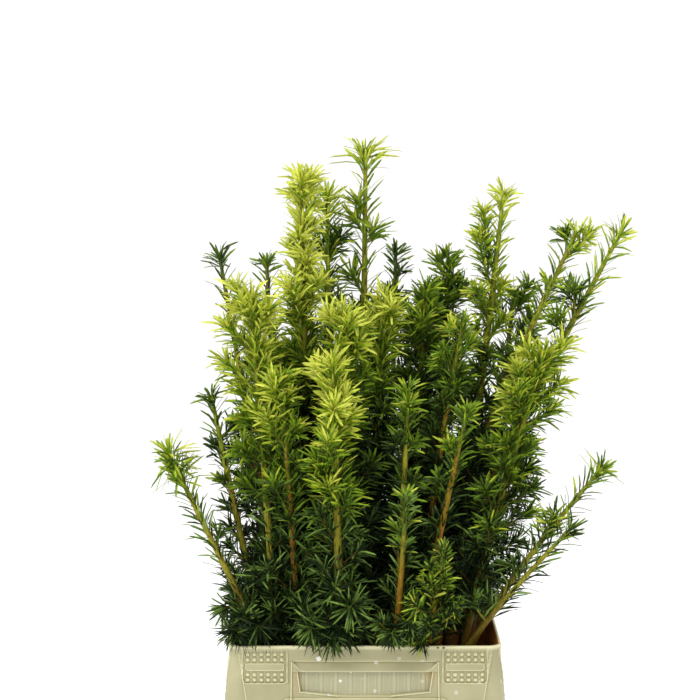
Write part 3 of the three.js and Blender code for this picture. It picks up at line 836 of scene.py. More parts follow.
def container_material():
    """Cream plastic: painted highlights on edges and lip, painted shade in hollows and panels, faint stains,
    drops and a painted orange-brown glow inside.
    """
    material, tree, shader = node_material("cream_plastic")
    place = own_place(tree)
    geometry = add(tree, "ShaderNodeNewGeometry", {}).outputs
    axes = add(tree, "ShaderNodeSeparateXYZ", {"Vector": place}).outputs
    side = math_node(tree, "ABSOLUTE", axes["X"])
    colour = ramp(tree, noise(tree, place, *CLOUDS), PLASTIC_STOPS, PLASTIC)
    colour = shaded_stained_panels(tree, colour, place, axes, side)
    # Painted shade in the hollows, painted highlights on the raised edges and along the lip
    for value, worn, painted_tone in (
        (geometry["Pointiness"], HOLLOW_SHADE_SPAN, PLASTIC_HOLLOW_SHADE),
        (geometry["Pointiness"], EDGE_HIGHLIGHT_SPAN, PLASTIC_HIGHLIGHT),
        (axes["Z"], LIP_HIGHLIGHT_SPAN, PLASTIC_HIGHLIGHT),
    ):
        colour = blend(tree, spread(tree, value, *worn), colour, painted_tone)
    colour = add_drops(tree, colour, place, axes)
    colour = add_slots(tree, colour, axes)
    # Painted light: inward-facing inner walls get the orange-brown glow
    level = add(tree, "ShaderNodeVectorMath", {0: place, 1: (1.0, 1.0, 0.0)}, operation="MULTIPLY")
    facing_inputs = {0: level.outputs["Vector"], 1: geometry["Normal"]}
    facing = add(tree, "ShaderNodeVectorMath", facing_inputs, operation="DOT_PRODUCT").outputs["Value"]
    reaches = (side, math_node(tree, "ABSOLUTE", axes["Y"]))
    in_walls = [math_node(tree, "LESS_THAN", *pair) for pair in zip(reaches, INNER_REACH)]
    colour = blend(tree, product(tree, spread(tree, facing, *INNER_FACING), *in_walls), colour, INNER_WALL_GLOW)
    rough = spread(tree, noise(tree, place, *GLOSS), 0.0, 1.0, *GLOSS_ROUGHNESS)
    grain = noise(tree, place, *PLASTIC_GRAIN)
    finish_surface(tree, shader, colour, grain, (rough, *PLASTIC_SHINE))
    set_inputs(tree, shader, {"Subsurface Weight": PLASTIC_GLOW, "Subsurface Radius": PLASTIC_GLOW_REACH})
    return material


# Stems and twigs: tubes with the bark's ridges and scars
STEM_SIDES = 10
TWIG_SIDES = 5
STEM_STEP = 5
TWIG_STEP = 12
FEWEST_STEM_STEPS = 6
FEWEST_TWIG_STEPS = 3
# The ridges: how high, how many, how fast they wind and how long their waves are
RIDGE = 0.07
RIDGES = 5
RIDGE_TWIST = 0.012
RIDGE_WAVE = 7.0
SCAR = 0.10
SCAR_WAVE = 2.6
SCAR_CREST = 0.86
# A stem's girth at its foot as a share of its girth in the solids, and how much that grows to its tip
STEM_THICKER = 1.05
SHOOT_THICKER = 0.42
# Twigs that end less than this below their stem's tip have young bark
YOUNG_BELOW = 160


def ring_faces(rings, sides):
    """Faces between rings of points one after another, and a cap at each end."""
    faces = []
    for ring in range(rings - 1):
        for side in range(sides):
            a = ring * sides + side
            b = ring * sides + (side + 1) % sides
            faces.append((a, b, b + sides, a + sides))
    faces.append(tuple(range(sides))[::-1])
    faces.append(tuple((rings - 1) * sides + side for side in range(sides)))
    return faces


def tube(centres, tangents, radii, sides, ridged):
    """Rings of points round a path and their faces."""
    across, along = frames(tangents)
    angles = np.arange(sides) * 2 * math.pi / sides
    radii = np.repeat(np.asarray(radii)[:, None], sides, axis=1)
    if ridged:
        steps = np.concatenate([[0], np.cumsum(np.linalg.norm(np.diff(centres, axis=0), axis=1))])[:, None]
        ridges = np.sin(RIDGES * (angles + steps * RIDGE_TWIST))
        radii = radii * (1 + RIDGE * ridges * np.sin(steps / RIDGE_WAVE + 2 * np.cos(angles)))
        crests = np.maximum(np.sin(steps / SCAR_WAVE + 3 * angles), SCAR_CREST)
        radii = radii * (1 + SCAR * crests - SCAR * SCAR_CREST)
    out = across[:, None] * np.cos(angles)[None, :, None] + along[:, None] * np.sin(angles)[None, :, None]
    places = (centres[:, None] + out * radii[..., None]).reshape(-1, 3)
    return places, ring_faces(len(centres), sides)


class Joined:
    """Many small meshes gathered into one."""

    def __init__(self):
        self.places = []
        self.faces = []
        self.count = 0

    def take(self, places, faces):
        self.places.append(places)
        self.faces += [tuple(corner + self.count for corner in face) for face in faces]
        self.count += len(places)

    def piece(self, name, material):
        return mesh_object(name, np.concatenate(self.places), self.faces, material, smooth=True)


def stem_radius(plant, shares):
    return between(plant["girth"], TIP_GIRTH, shares**TAPER) / 2


OWN_BARKS = {5: "golden", 6: "golden", 7: "golden", 26: "golden"}
BARKS = {"gold": "golden", "lime": "golden", "olive": "orange", "green": "orange", "dark": "brown"}
# Each bark from the woody foot of the leafy part up to its green tip
BARK_COLOURS = {
    "golden": ((0.15, 0.105, 0.013), (0.205, 0.185, 0.016), (0.27, 0.26, 0.018), (0.20, 0.25, 0.022)),
    "orange": ((0.17, 0.080, 0.010), (0.27, 0.135, 0.012), (0.23, 0.19, 0.015), (0.14, 0.19, 0.020)),
    "brown": ((0.085, 0.042, 0.010), (0.145, 0.082, 0.012), (0.14, 0.115, 0.015), (0.09, 0.125, 0.016)),
}
YOUNG_TWIG_COLOURS = ((0.15, 0.13, 0.016), (0.19, 0.20, 0.022), (0.13, 0.19, 0.020), (0.24, 0.17, 0.022))
OLD_TWIG_COLOURS = ((0.045, 0.040, 0.009), (0.075, 0.065, 0.011), (0.10, 0.060, 0.012), (0.05, 0.070, 0.012))


def dress_stems(barks, foot_bark):
    """Each stem is a woody foot in the container and a leafy shoot that greens towards its tip."""
    for plant in plants:
        name = f"{plant['number']:02d}"
        split = plant["from"]
        end = 1 - TIP_BACK / plant["length"]
        green_bark = barks[OWN_BARKS.get(plant["number"], BARKS[plant["tint"]])]
        for part, low, high, bark in (("stem", 0.0, split, foot_bark), ("shoot", split, end, green_bark)):
            steps = max(int(plant["length"] * (high - low) / STEM_STEP), FEWEST_STEM_STEPS)
            shares = np.linspace(low, high, steps + 1)
            centres, tangents = bezier(plant["points"], shares)
            if part == "stem":
                tangents[0] = UP
            radii = stem_radius(plant, shares) * (STEM_THICKER + SHOOT_THICKER * shares)
            places, faces = tube(centres, tangents, radii, STEM_SIDES, ridged=True)
            piece = mesh_object(f"{part}_{name}_bark", places, faces, bark, smooth=True)
            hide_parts(f"stem_{name}" if part == "stem" else f"foliage_{name}")


def dress_twigs(shoots, young_bark, old_bark):
    young, old = Joined(), Joined()
    for shoot in shoots:
        if shoot["kind"] == "leader":
            continue
        steps = max(int(shoot["length"] / TWIG_STEP), FEWEST_TWIG_STEPS)
        shares = np.linspace(0, 1 - TIP_BACK / shoot["length"], steps + 1)
        centres, tangents = bezier(shoot["points"], shares)
        radii = between(*shoot["girths"], shares) / 2
        joined = young if shoot["below"] < YOUNG_BELOW else old
        joined.take(*tube(centres, tangents, radii, TWIG_SIDES, ridged=False))
    for name, joined, bark in (("twigs_young", young, young_bark), ("twigs_old", old, old_bark)):
        piece = joined.piece(name, bark)
        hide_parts(*FOLIAGE)


# Needles
NEEDLE_LENGTH = (28, 41)
NEEDLE_WIDTH = (3.0, 4.2)
NEEDLE_FOLD = 0.6
NEEDLE_PITCH = {"gold": 0.85, "lime": 0.95, "olive": 1.1, "green": 1.15, "dark": 1.25}
TWIG_NEEDLE_PITCH = 1.6
HEAD_NEEDLE_PITCH = 1.1
NEEDLE_FIRST = 4
# How much wider apart the needles stand on the oldest part of a stem, and where that begins and is full
OLD_PITCH = 2.0
WORN_BELOW = 120
WORN_OVER = 150
# How far a needle strays along its shoot and, in radians, round it and in its roll
NEEDLE_STRAY = 0.9
TURN_STRAY = 0.3
ROLL_STRAY = 0.75
# A needle's rise from its shoot in degrees: a young one's, its spread, the highest in a tuft, and how far
# below the tip a needle is old
YOUNG_RISE = 54
RISE_STRAY = 9
HIGHEST_RISE = 88
OLD_BELOW = 350
DROOP = {"rim": 0.55, "fringe": 0.3}
NEEDLE_CURL = (0.12, 0.42)
# The length share of the highest needles in a tuft
TUFT_TOP = 0.7
# How a stem's own shoot differs from a twig: its old needles' rise, its needles' length share, the same for
# the lowest of its tuft, and how far its tint strays
STEM_SHOOT = (58, 1.0, 1.06, 0.25)
TWIG_SHOOT = (42, 0.92, 0.95, 0.6)
# A twig's radius where its needles stand, and the share of a radius at which their roots are
TWIG_RADIUS = 1.2
ROOT_SHARE = 0.7
# Most needles that point outwards from a stem are left out below its tip, so that the stem shows
OPEN_OUTWARD = 0.7
OPEN_BELOW = 60
OPEN_CHANCE = 0.8
# A needle's tint deepens from the tip's by a power of its depth, which counts up to a limit
TIP_LIGHTER = 0.2
TINT_RUN = len(TINTS) - 1.6
DEEPEST = 1.2
DEEPENING = 0.9
# It is deeper low down, and low inside the bunch, where that is painted shade: how much, from which height
# down and over how far
LOW_DEEPER = (0.9, 660, 340)
INSIDE_SHADE = (4.5, 760, 200)
INSIDE = 0.8
# Lowest of all it is deeper again, with painted shade that is strongest inside and less so outside, and more
# mixed
LOWEST = (520, 160)
LOWEST_SHADE = (3.3, 2.6)
LOWEST_LIMITS = (0.7, 2.0)
TINT_STRAY = (0.85, 2.3)
# How far below a tuft its lighter tint fades out
TUFT_FADE = 8
# How much deeper the fringe is, its share of its stem's own depth, how much deeper its root is than its tip,
# which is painted shade, and its needles' length share
FRINGE_TINT = 1.3
FRINGE_SHARE = 0.3
FRINGE_ROOT_SHADE = 2.6
FRINGE_FADE = 50
FRINGE_LONGER = 1.12
COOL_STRAY = 30
# How much narrower the low needles are
LOW_NARROWER = 0.16
# Painted light and shade: how much lighter a needle's upward half is and how much darker the other, and how
# much more so low down
UPWARD_HALF_LIGHT = 0.5
UPWARD_HALF_LIGHT_LOW = 0.3
LOWER_DARKER = 1.2
# Needles that would touch the container are shortened step by step, and then left out
NEEDLE_ROOM = 1.5
SHORTENINGS = 4
SHORTEN = 0.72
MIDWAY = 0.6
# How far the needles may reach past the solids' box
OVER_BOX = 8
NEEDLE_SEED = 20240

# A needle is an open blade folded along its midrib, its two halves in different tints, the upward half with
# painted light and the other with painted shade, each with a darker lower and a lighter upper part. A part
# goes from ring to ring, a ring being its place along the needle and its share of the width.
LOWER_RINGS = ((0.0, 0.55), (0.5, 1.0))
LOWER_FACES = np.array([(0, 1, 3), (0, 3, 2)])
UPPER_RINGS = ((0.5, 1.0), (0.87, 0.72), (1.0, 0.0))
UPPER_FACES = np.array([(0, 1, 3), (0, 3, 2), (2, 3, 4)])
# In the deepest shade a half is two plain triangles
SHADED_LOWER_RINGS = ((0.0, 0.0), (0.5, 1.0))
SHADED_LOWER_FACES = np.array([(0, 2, 1)])
SHADED_UPPER_RINGS = ((0.5, 1.0), (1.0, 0.0))
SHADED_UPPER_FACES = np.array([(0, 1, 2)])


def half_blades(needles, rings, side):
    """Vertices of one half of many needles: the edge and the midrib at each ring, or a point."""
    roots, directions, sides, curls = (needles[key] for key in ("root", "direction", "side", "curl"))
    normals = np.cross(sides, directions)
    lengths, widths = needles["length"][:, None], needles["width"][:, None]
    columns = []
    for share, width in rings:
        middle = roots + directions * lengths * share + curls * share**2
        edge = middle + sides * widths * (side * width / 2)
        columns += [edge, middle - normals * NEEDLE_FOLD] if width else [middle]
    return np.stack(columns, axis=1)


def fall(z, top, depth):
    """0 above a height and 1 from a depth below it."""
    return np.clip((top - z) / depth, 0, 1)


def needle_distances(shoot, leader, tuft, tuft_depth, rng):
    """How far along its shoot each needle stands, with the tuft at its tip last."""
    plant = shoot["plant"]
    reach = shoot["length"] - TIP_BACK
    first = NEEDLE_FIRST if leader else plant["girth"] / 2 + NEEDLE_FIRST
    pitch = HEAD_NEEDLE_PITCH if shoot["kind"] in ("head", "rim") else TWIG_NEEDLE_PITCH
    if leader:
        pitch = NEEDLE_PITCH[plant["tint"]] * plant["pitch"]
    distances = np.arange(first, reach, pitch)
    if leader:
        worn = np.clip((reach - distances - WORN_BELOW) / WORN_OVER, 0, 1)
        distances = distances[rng.uniform(0, 1, len(distances)) < 1 / between(1, OLD_PITCH, worn)]
    distances = np.concatenate([distances, reach - rng.uniform(0, tuft_depth, tuft)])
    strays = rng.uniform(-NEEDLE_STRAY, NEEDLE_STRAY, len(distances))
    return np.clip(distances + strays, 1, reach)


def needle_tints(shoot, centres, from_tip, low, tuft_depth, lighter, stray, rng):
    """The place of each needle on the run of tints."""
    plant = shoot["plant"]
    peak, fade = TIP_TINT[plant["tint"]]
    depth = np.clip((np.maximum(shoot["below"], 0) + from_tip) / fade, 0, DEEPEST)
    z = centres[:, 2]
    outer = outwardness(centres)
    tint = peak - TIP_LIGHTER + (TINT_RUN - peak) * depth**DEEPENING
    tint += LOW_DEEPER[0] * fall(z, *LOW_DEEPER[1:])
    # Painted shade: needles deep inside the bunch are darker
    tint += INSIDE_SHADE[0] * np.clip(INSIDE - outer, 0, 1) * fall(z, *INSIDE_SHADE[1:])
    tint -= lighter * np.clip(1 - from_tip / (tuft_depth + TUFT_FADE), 0, 1)
    # Painted shade at the bottom of the bunch, strongest inside
    tint += low * np.clip(LOWEST_SHADE[0] - LOWEST_SHADE[1] * outer, *LOWEST_LIMITS)
    tint += rng.normal(0, stray) + rng.normal(0, 1, len(z)) * between(*TINT_STRAY, low) + shoot["deeper"]
    if shoot["kind"] not in DROOP:
        return tint + plant["deeper"]
    # Painted shade: a fringe needle is darker towards its shoot's root and lighter at its tip
    root_shade = FRINGE_ROOT_SHADE * (np.clip(from_tip / FRINGE_FADE, 0, 1) - 0.5)
    return tint + (FRINGE_SHARE * plant["deeper"] + FRINGE_TINT + root_shade)


def grow_shoot(shoot, rng):
    """Roots, directions and tints of the needles on one shoot."""
    plant = shoot["plant"]
    leader = shoot["kind"] == "leader"
    tuft_form = BIG_TUFTS.get(plant["number"], PLAIN_TUFT) if leader else TWIG_TUFT
    tuft, tuft_depth, tuft_longer, lowest, lighter = tuft_form
    old_rise, longer, low_longer, tint_stray = STEM_SHOOT if leader else TWIG_SHOOT
    distances = needle_distances(shoot, leader, tuft, tuft_depth, rng)
    count = len(distances)
    in_tuft = np.arange(count) >= count - tuft
    shares = shoot["from"] + distances / shoot["length"] * (1 - shoot["from"])
    centres, tangents = bezier(shoot["points"], shares)
    across, along = frames(tangents)
    angles = GOLDEN_TURN * np.arange(count) + rng.uniform(-TURN_STRAY, TURN_STRAY, count)
    out = across * np.cos(angles)[:, None] + along * np.sin(angles)[:, None]
    from_tip = shoot["length"] - TIP_BACK - distances
    depth_below = np.maximum(shoot["below"], 0) + from_tip
    rise = between(YOUNG_RISE, old_rise, np.clip(depth_below / OLD_BELOW, 0, 1))
    rise = rise + rng.normal(0, RISE_STRAY, count)
    rise = np.radians(np.where(in_tuft, rng.uniform(lowest, HIGHEST_RISE, count), rise))
    directions = out * np.cos(rise)[:, None] + tangents * np.sin(rise)[:, None]
    directions = unit(directions - UP * DROOP.get(shoot["kind"], 0.0))
    curl = -unit(tangents - directions * (tangents * directions).sum(1, keepdims=True))
    outward = crown_outward(centres)
    sides = unit(np.cross(directions, outward - curl))
    roll = rng.normal(0, ROLL_STRAY, count)[:, None]
    sides = unit(sides * np.cos(roll) + np.cross(directions, sides) * np.sin(roll))
    lengths = rng.uniform(*NEEDLE_LENGTH, count) * plant["longer"] * longer
    tuft_lengths = lengths * between(low_longer, TUFT_TOP, np.sin(rise) ** 3) * tuft_longer
    lengths = np.where(in_tuft, tuft_lengths, lengths)
    curl *= (lengths * rng.uniform(*NEEDLE_CURL, count) * np.sqrt(np.clip(np.cos(rise), 0, 1)))[:, None]
    if shoot["kind"] in DROOP:
        lengths *= FRINGE_LONGER
    low = fall(centres[:, 2], *LOWEST)
    tint = needle_tints(shoot, centres, from_tip, low, tuft_depth, lighter, tint_stray, rng)
    radius = stem_radius(plant, shares) if leader else np.full(count, TWIG_RADIUS)
    faces_out = (out * outward).sum(1) > OPEN_OUTWARD
    keep = ~(leader & faces_out & (depth_below > OPEN_BELOW) & (rng.uniform(0, 1, count) < OPEN_CHANCE))
    grown = {
        "root": centres + out * radius[:, None] * ROOT_SHARE, "direction": directions, "side": sides,
        "length": lengths, "curl": curl, "tint": tint,
        "width": rng.uniform(*NEEDLE_WIDTH, count) * (1 - LOW_NARROWER * low),
        "cool": (centres[:, 2] < COOL_BELOW + rng.normal(0, COOL_STRAY)) & (plant["number"] != WARM_STEM),
        # How far apart the painted light and painted shade of a needle's two halves are
        "half": UPWARD_HALF_LIGHT + UPWARD_HALF_LIGHT_LOW * low,
    }
    return {key: value[keep] for key, value in grown.items()}


def grow_needles(shoots):
    grown = [
        grow_shoot(shoot, np.random.default_rng((NEEDLE_SEED, shoot["plant"]["index"], shoot["order"])))
        for shoot in shoots
    ]
    needles = {key: np.concatenate([row[key] for row in grown]) for key in grown[0]}
    for _ in range(SHORTENINGS):
        reach = needles["direction"] * needles["length"][:, None]
        hits = ~(
            clear_of_container(needles["root"] + reach, NEEDLE_ROOM)
            & clear_of_container(needles["root"] + reach * MIDWAY, NEEDLE_ROOM)
        )
        needles["length"] = np.where(hits, needles["length"] * SHORTEN, needles["length"])
    low, high = (np.array(corner) / MM for corner in cad_box)
    tips = needles["root"] + needles["direction"] * needles["length"][:, None] + needles["curl"]
    out_of_box = ((tips < low - OVER_BOX) | (tips > high + OVER_BOX)).any(1)
    left_out = hits | out_of_box | within(at_front_rim(tips), BARE_RIM)
    return {key: value[~left_out] for key, value in needles.items()}


def dress_needles(shoots):
    """One piece of each tint, from all the half needles' parts that have it."""
    needles = grow_needles(shoots)
    # Painted light and shade: the half whose edge points up is lighter, the other darker
    upper_half = np.where(needles["side"][:, 2] > 0, 1, -1)
    parts = []
    for side in (-1, 1):
        tint = needles["tint"] - needles["half"] * side * upper_half
        for darker, shapes in (
            (LOWER_DARKER, ((LOWER_RINGS, LOWER_FACES), (SHADED_LOWER_RINGS, SHADED_LOWER_FACES))),
            (0.0, ((UPPER_RINGS, UPPER_FACES), (SHADED_UPPER_RINGS, SHADED_UPPER_FACES))),
        ):
            choice = np.clip(np.floor(tint + darker), 0, len(TINTS) - 1).astype(int)
            choice = np.where(needles["cool"], COOLED[choice], choice)
            parts.append((side, choice, shapes))
    for number, (name, colour, slot) in enumerate(TINTS + COOL_TINTS):
        places, faces, count = [], [], 0
        for side, choice, shapes in parts:
            chosen = choice == number
            rings, shape = shapes[number == len(TINTS) - 1]
            grown = half_blades({key: value[chosen] for key, value in needles.items()}, rings, side)
            corners = grown.shape[1]
            starts = count + corners * np.arange(len(grown))[:, None, None]
            faces.append((shape[None, :, ::-side] + starts).reshape(-1, 3))
            places.append(grown.reshape(-1, 3))
            count += len(grown) * corners
        piece = mesh_object(
            f"needles_{name}", np.concatenate(places), np.concatenate(faces).tolist(),
            needle_material(f"needle_{name}", colour),
        )
        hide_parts(*FOLIAGE)


# Container: rings of points from its underside, up the outside, over the lip and down to the floor inside.
# The relief on its collar is in millimetres, across a face and up.
FIELD_X = (110.5, 170.5)
FIELD_Z = (248, 293)
FIELD_OPEN = 8
FIELD_ROUND = 5.0
FIELD_DEPTH = 1.6
DOT_COLUMNS = 6
DOT_PITCH = 9.6
DOT_ROWS = (287.9, 280.2, 259.4, 252.1)
DOT_RADIUS = 3.3
DOT_HEIGHT = 2.6
# The groove round a dot: its depth and its half width
DOT_GROOVE = (0.4, 0.7)
# How soft the edges of fields and pockets are, and those of the bars, the bevel and the ledge
EDGE_SOFT = 0.9
BEVEL_SOFT = 0.8
BAR_Z = (264.5, 275.6)
BAR_INSET = 2.5
BAR_ROUND = 3.0
# Ridges, each by its place, its half width and its height
FIELD_RIDGE = (0.9, 1.1, 1.1)
BAR_RIDGE = (-0.9, 0.9, 0.8)
SIDE_RIDGE = (108.6, 1.2, 1.6)
HAND_RIDGE = (102.9, 1.5, 3.0)
RIB_RIDGE = (5.4, 0.9, 0.6)
POCKET_RIDGE = (1.2, 1.3, 2.0)
END_RIDGE = (84.8, 1.5, 1.8)
SIDE_RIDGE_Z = (248, 298)
END_RIDGE_Z = (222, 290)
# The hand hold: where its ridge ends and leans to, its own end, and the corner of its bevel
HAND_FOOT_Z = 222
HAND_LEAN = 0.012
HAND_X = 101.6
HAND_CORNER_X = 86
# The bevel over the panel stands out by the first of these at its top and the second at its foot, and by
# the last one beyond its slanted end
BEVEL_Z = (263.5, 277)
BEVEL_OUT = (-3.4, 3.0)
BEVEL_CORNER = 1.5
# The ribbed panel: a pocket whose sides lean in downwards and whose foot is lower in its middle
PANEL_FOOT_Z = 231
PANEL_X = 94
PANEL_LEAN = 0.15
PANEL_MIDDLE_X = 36
PANEL_FOOT_RISE = 5
PANEL_FOOT_RUN = 50
END_PANEL_X = 80
POCKET_DEPTH = 5.2
RIB_PITCH = 20.5
# Half a rib's width, its soft edge and its height, on the long faces and on the ends
LONG_RIB = (2.4, 0.9, 1.0)
END_RIB = (2.2, 0.7, 2.0)
LEDGE_HALF = 115
LEDGE_Z = (219, 227.5)
LEDGE_ROUND_Z = 223
LEDGE_ROUND = 5
# The posts near a face's ends: their place at a height, how they lean in downwards, and the strip beyond
POST_X = {"long": 178.0, "end": 131.5}
POST_HALF = {"long": 1.1, "end": 1.6}
POST_Z = 294
POST_LEAN = 0.165
POST_HEIGHT = 0.9
STRIP_DEPTH = 1.4
STRIP_FROM = 1.0
STRIP_SOFT = 1.2


def step(value, edge, soft=0.5):
    """0 below an edge and 1 above it, with a soft rise."""
    share = np.clip((value - edge) / soft + 0.5, 0, 1)
    return share * share * (3 - 2 * share)


def inside(value, low, high, soft=0.5):
    return step(value, low, soft) * (1 - step(value, high, soft))


def rounded_box(across, up, span_x, span_z, radius):
    """Distance out of a rectangle with rounded corners, less than 0 inside it."""
    away_x = np.abs(across - sum(span_x) / 2) - (span_x[1] - span_x[0]) / 2 + radius
    away_z = np.abs(up - sum(span_z) / 2) - (span_z[1] - span_z[0]) / 2 + radius
    corner = np.hypot(np.maximum(away_x, 0), np.maximum(away_z, 0))
    return corner + np.minimum(np.maximum(away_x, away_z), 0) - radius


def ridge(distance, place, half_width, height):
    """A rounded ridge along the line at a place."""
    return height * np.sqrt(np.clip(1 - ((distance - place) / half_width) ** 2, 0, 1))


def post_relief(kind, side, z):
    """The upright post near a face's end, and the set-back strip beyond it."""
    post = POST_X[kind] - (POST_Z - z) * POST_LEAN
    strip = step(side, post + STRIP_FROM, STRIP_SOFT)
    return ridge(side, post, POST_HALF[kind], POST_HEIGHT) - STRIP_DEPTH * strip


def pocket_relief(across, pocket_edge, z, rib):
    """How much of a place is in the ribbed pocket, the nearest rib's distance and the pocket's relief."""
    pocket = (1 - step(pocket_edge, 0, EDGE_SOFT)) * (1 - step(z, BEVEL_Z[0], BEVEL_SOFT))
    ribs = np.abs((across / RIB_PITCH + 0.5) % 1 - 0.5) * RIB_PITCH
    half, soft, height = rib
    return pocket, ribs, pocket * (height * (1 - step(ribs, half, soft)) - POCKET_DEPTH)


def field_relief(side, z):
    """A sunk field, open above, with rows of dots and a plain bar."""
    field = rounded_box(side, z, FIELD_X, (FIELD_Z[0], FIELD_Z[1] + FIELD_OPEN), FIELD_ROUND)
    relief = -FIELD_DEPTH * (1 - step(field, 0, EDGE_SOFT)) * (1 - step(z, FIELD_Z[1], 1.0))
    relief += ridge(field, *FIELD_RIDGE) * (z < FIELD_Z[1])
    groove, groove_half = DOT_GROOVE
    for column in range(DOT_COLUMNS):
        dot_x = sum(FIELD_X) / 2 + DOT_PITCH * (column - (DOT_COLUMNS - 1) / 2)
        for row in DOT_ROWS:
            away = np.hypot(side - dot_x, z - row)
            relief += ridge(away, 0, DOT_RADIUS, DOT_HEIGHT)
            relief -= groove * np.exp(-(((away - DOT_RADIUS - groove_half) / groove_half) ** 2))
    bar = rounded_box(side, z, (FIELD_X[0] + BAR_INSET, FIELD_X[1] - BAR_INSET), BAR_Z, BAR_ROUND)
    return relief + 1 - step(bar, 0, BEVEL_SOFT) + ridge(bar, *BAR_RIDGE)


def hand_relief(side, z):
    """The bevelled hand hold over the panel, with the ridge at its end that runs on down."""
    lean = np.maximum(BEVEL_Z[1] - z, 0) * HAND_LEAN
    relief = ridge(side - lean, *HAND_RIDGE) * inside(z, HAND_FOOT_Z, BEVEL_Z[1] + 0.5)
    hand = (side < HAND_X) * inside(z, *BEVEL_Z, BEVEL_SOFT)
    corner = np.clip((side - HAND_CORNER_X - (z - BEVEL_Z[0])) / 2, 0, 1)
    slope = between(*BEVEL_OUT, (BEVEL_Z[1] - z) / (BEVEL_Z[1] - BEVEL_Z[0]))
    return relief + hand * between(slope, BEVEL_CORNER, corner)


def face_relief(x, z):
    """How far the collar's long face stands out at a place across and up."""
    side = np.abs(x)
    relief = field_relief(side, z) + hand_relief(side, z)
    relief += ridge(side, *SIDE_RIDGE) * inside(z, *SIDE_RIDGE_Z)
    slant = PANEL_X - (BEVEL_Z[0] - z) * PANEL_LEAN
    foot = PANEL_FOOT_Z + np.clip((side - PANEL_MIDDLE_X) / PANEL_FOOT_RUN, 0, 1) * PANEL_FOOT_RISE
    pocket_edge = np.maximum(side - slant, foot - z)
    pocket, ribs, ribbed = pocket_relief(x, pocket_edge, z, LONG_RIB)
    relief += ribbed + ridge(ribs, *RIB_RIDGE) * pocket
    rim = ridge(pocket_edge, *POCKET_RIDGE)
    relief += rim * (z < BEVEL_Z[0] + 0.5) * (side > PANEL_MIDDLE_X)
    ledge_half = LEDGE_HALF - np.clip(z - LEDGE_ROUND_Z, 0, LEDGE_ROUND) ** 2 / 4
    relief += LEDGE_RISE * (1 - step(side, ledge_half, 1.0)) * inside(z, *LEDGE_Z, BEVEL_SOFT)
    return relief + post_relief("long", side, z)


def end_relief(y, z):
    """The same for the collar's ends, which carry the ribbed panel alone."""
    side = np.abs(y)
    pocket_edge = np.maximum(side - END_PANEL_X, PANEL_FOOT_Z - z)
    relief = pocket_relief(y, pocket_edge, z, END_RIB)[2]
    relief += ridge(side, *END_RIDGE) * inside(z, *END_RIDGE_Z)
    return relief + post_relief("end", side, z)


# Steps round a rounded rectangle: finest on the long faces by the fields, coarser elsewhere
OUTER = np.linspace(0.5, 1, 101)[1:]
LONG = np.concatenate([-OUTER[::-1], np.linspace(-0.5, 0.5, 131), OUTER])
SHORT = np.linspace(-1, 1, 91)
CORNER = np.linspace(0, 1, 22)[1:-1]


def ring_points(half, radius):
    """Counter-clockwise points of one ring, with each point's outward direction."""
    half_x, half_y = half
    places, outs = [], []
    faces = [
        (LONG, (1, 0), (0, -1), half_x - radius, half_y),
        (SHORT, (0, 1), (1, 0), half_y - radius, half_x),
        (LONG, (-1, 0), (0, 1), half_x - radius, half_y),
        (SHORT, (0, -1), (-1, 0), half_y - radius, half_x),
    ]
    for turn, (shares, along, out, run, distance) in enumerate(faces):
        along, out = np.array(along, float), np.array(out, float)
        places.append(shares[:, None] * along * run + out * distance)
        outs.append(np.tile(out, (len(shares), 1)))
        angles = (turn - 1) * math.pi / 2 + CORNER * math.pi / 2
        spokes = np.stack([np.cos(angles), np.sin(angles)], axis=1)
        places.append(along * run + out * (distance - radius) + spokes * radius)
        outs.append(spokes)
    return np.concatenate(places), np.concatenate(outs)


# The height where the collar meets the body, and the roundings of the foot, the rim and its inner edge
UNDER_COLLAR_Z = 272
FOOT_ROUND = 1.2
RIM_ROUND = 2.5
INNER_ROUND = 2.0
BODY_RINGS_Z = (5, 60, 130, 200, 250)
COLLAR_RINGS_Z = (211, 216)
MARKED_FROM_Z = 218
MARKED_RINGS = 72
COLLAR_EDGE = 0.6
INNER_RINGS_Z = (292, 200, 100, 8)
RIM_ANGLES = np.radians(np.linspace(0, 90, 7))
INNER_ANGLES = np.radians(np.linspace(90, 10, 5))
SHARP_ANGLE = math.radians(38)


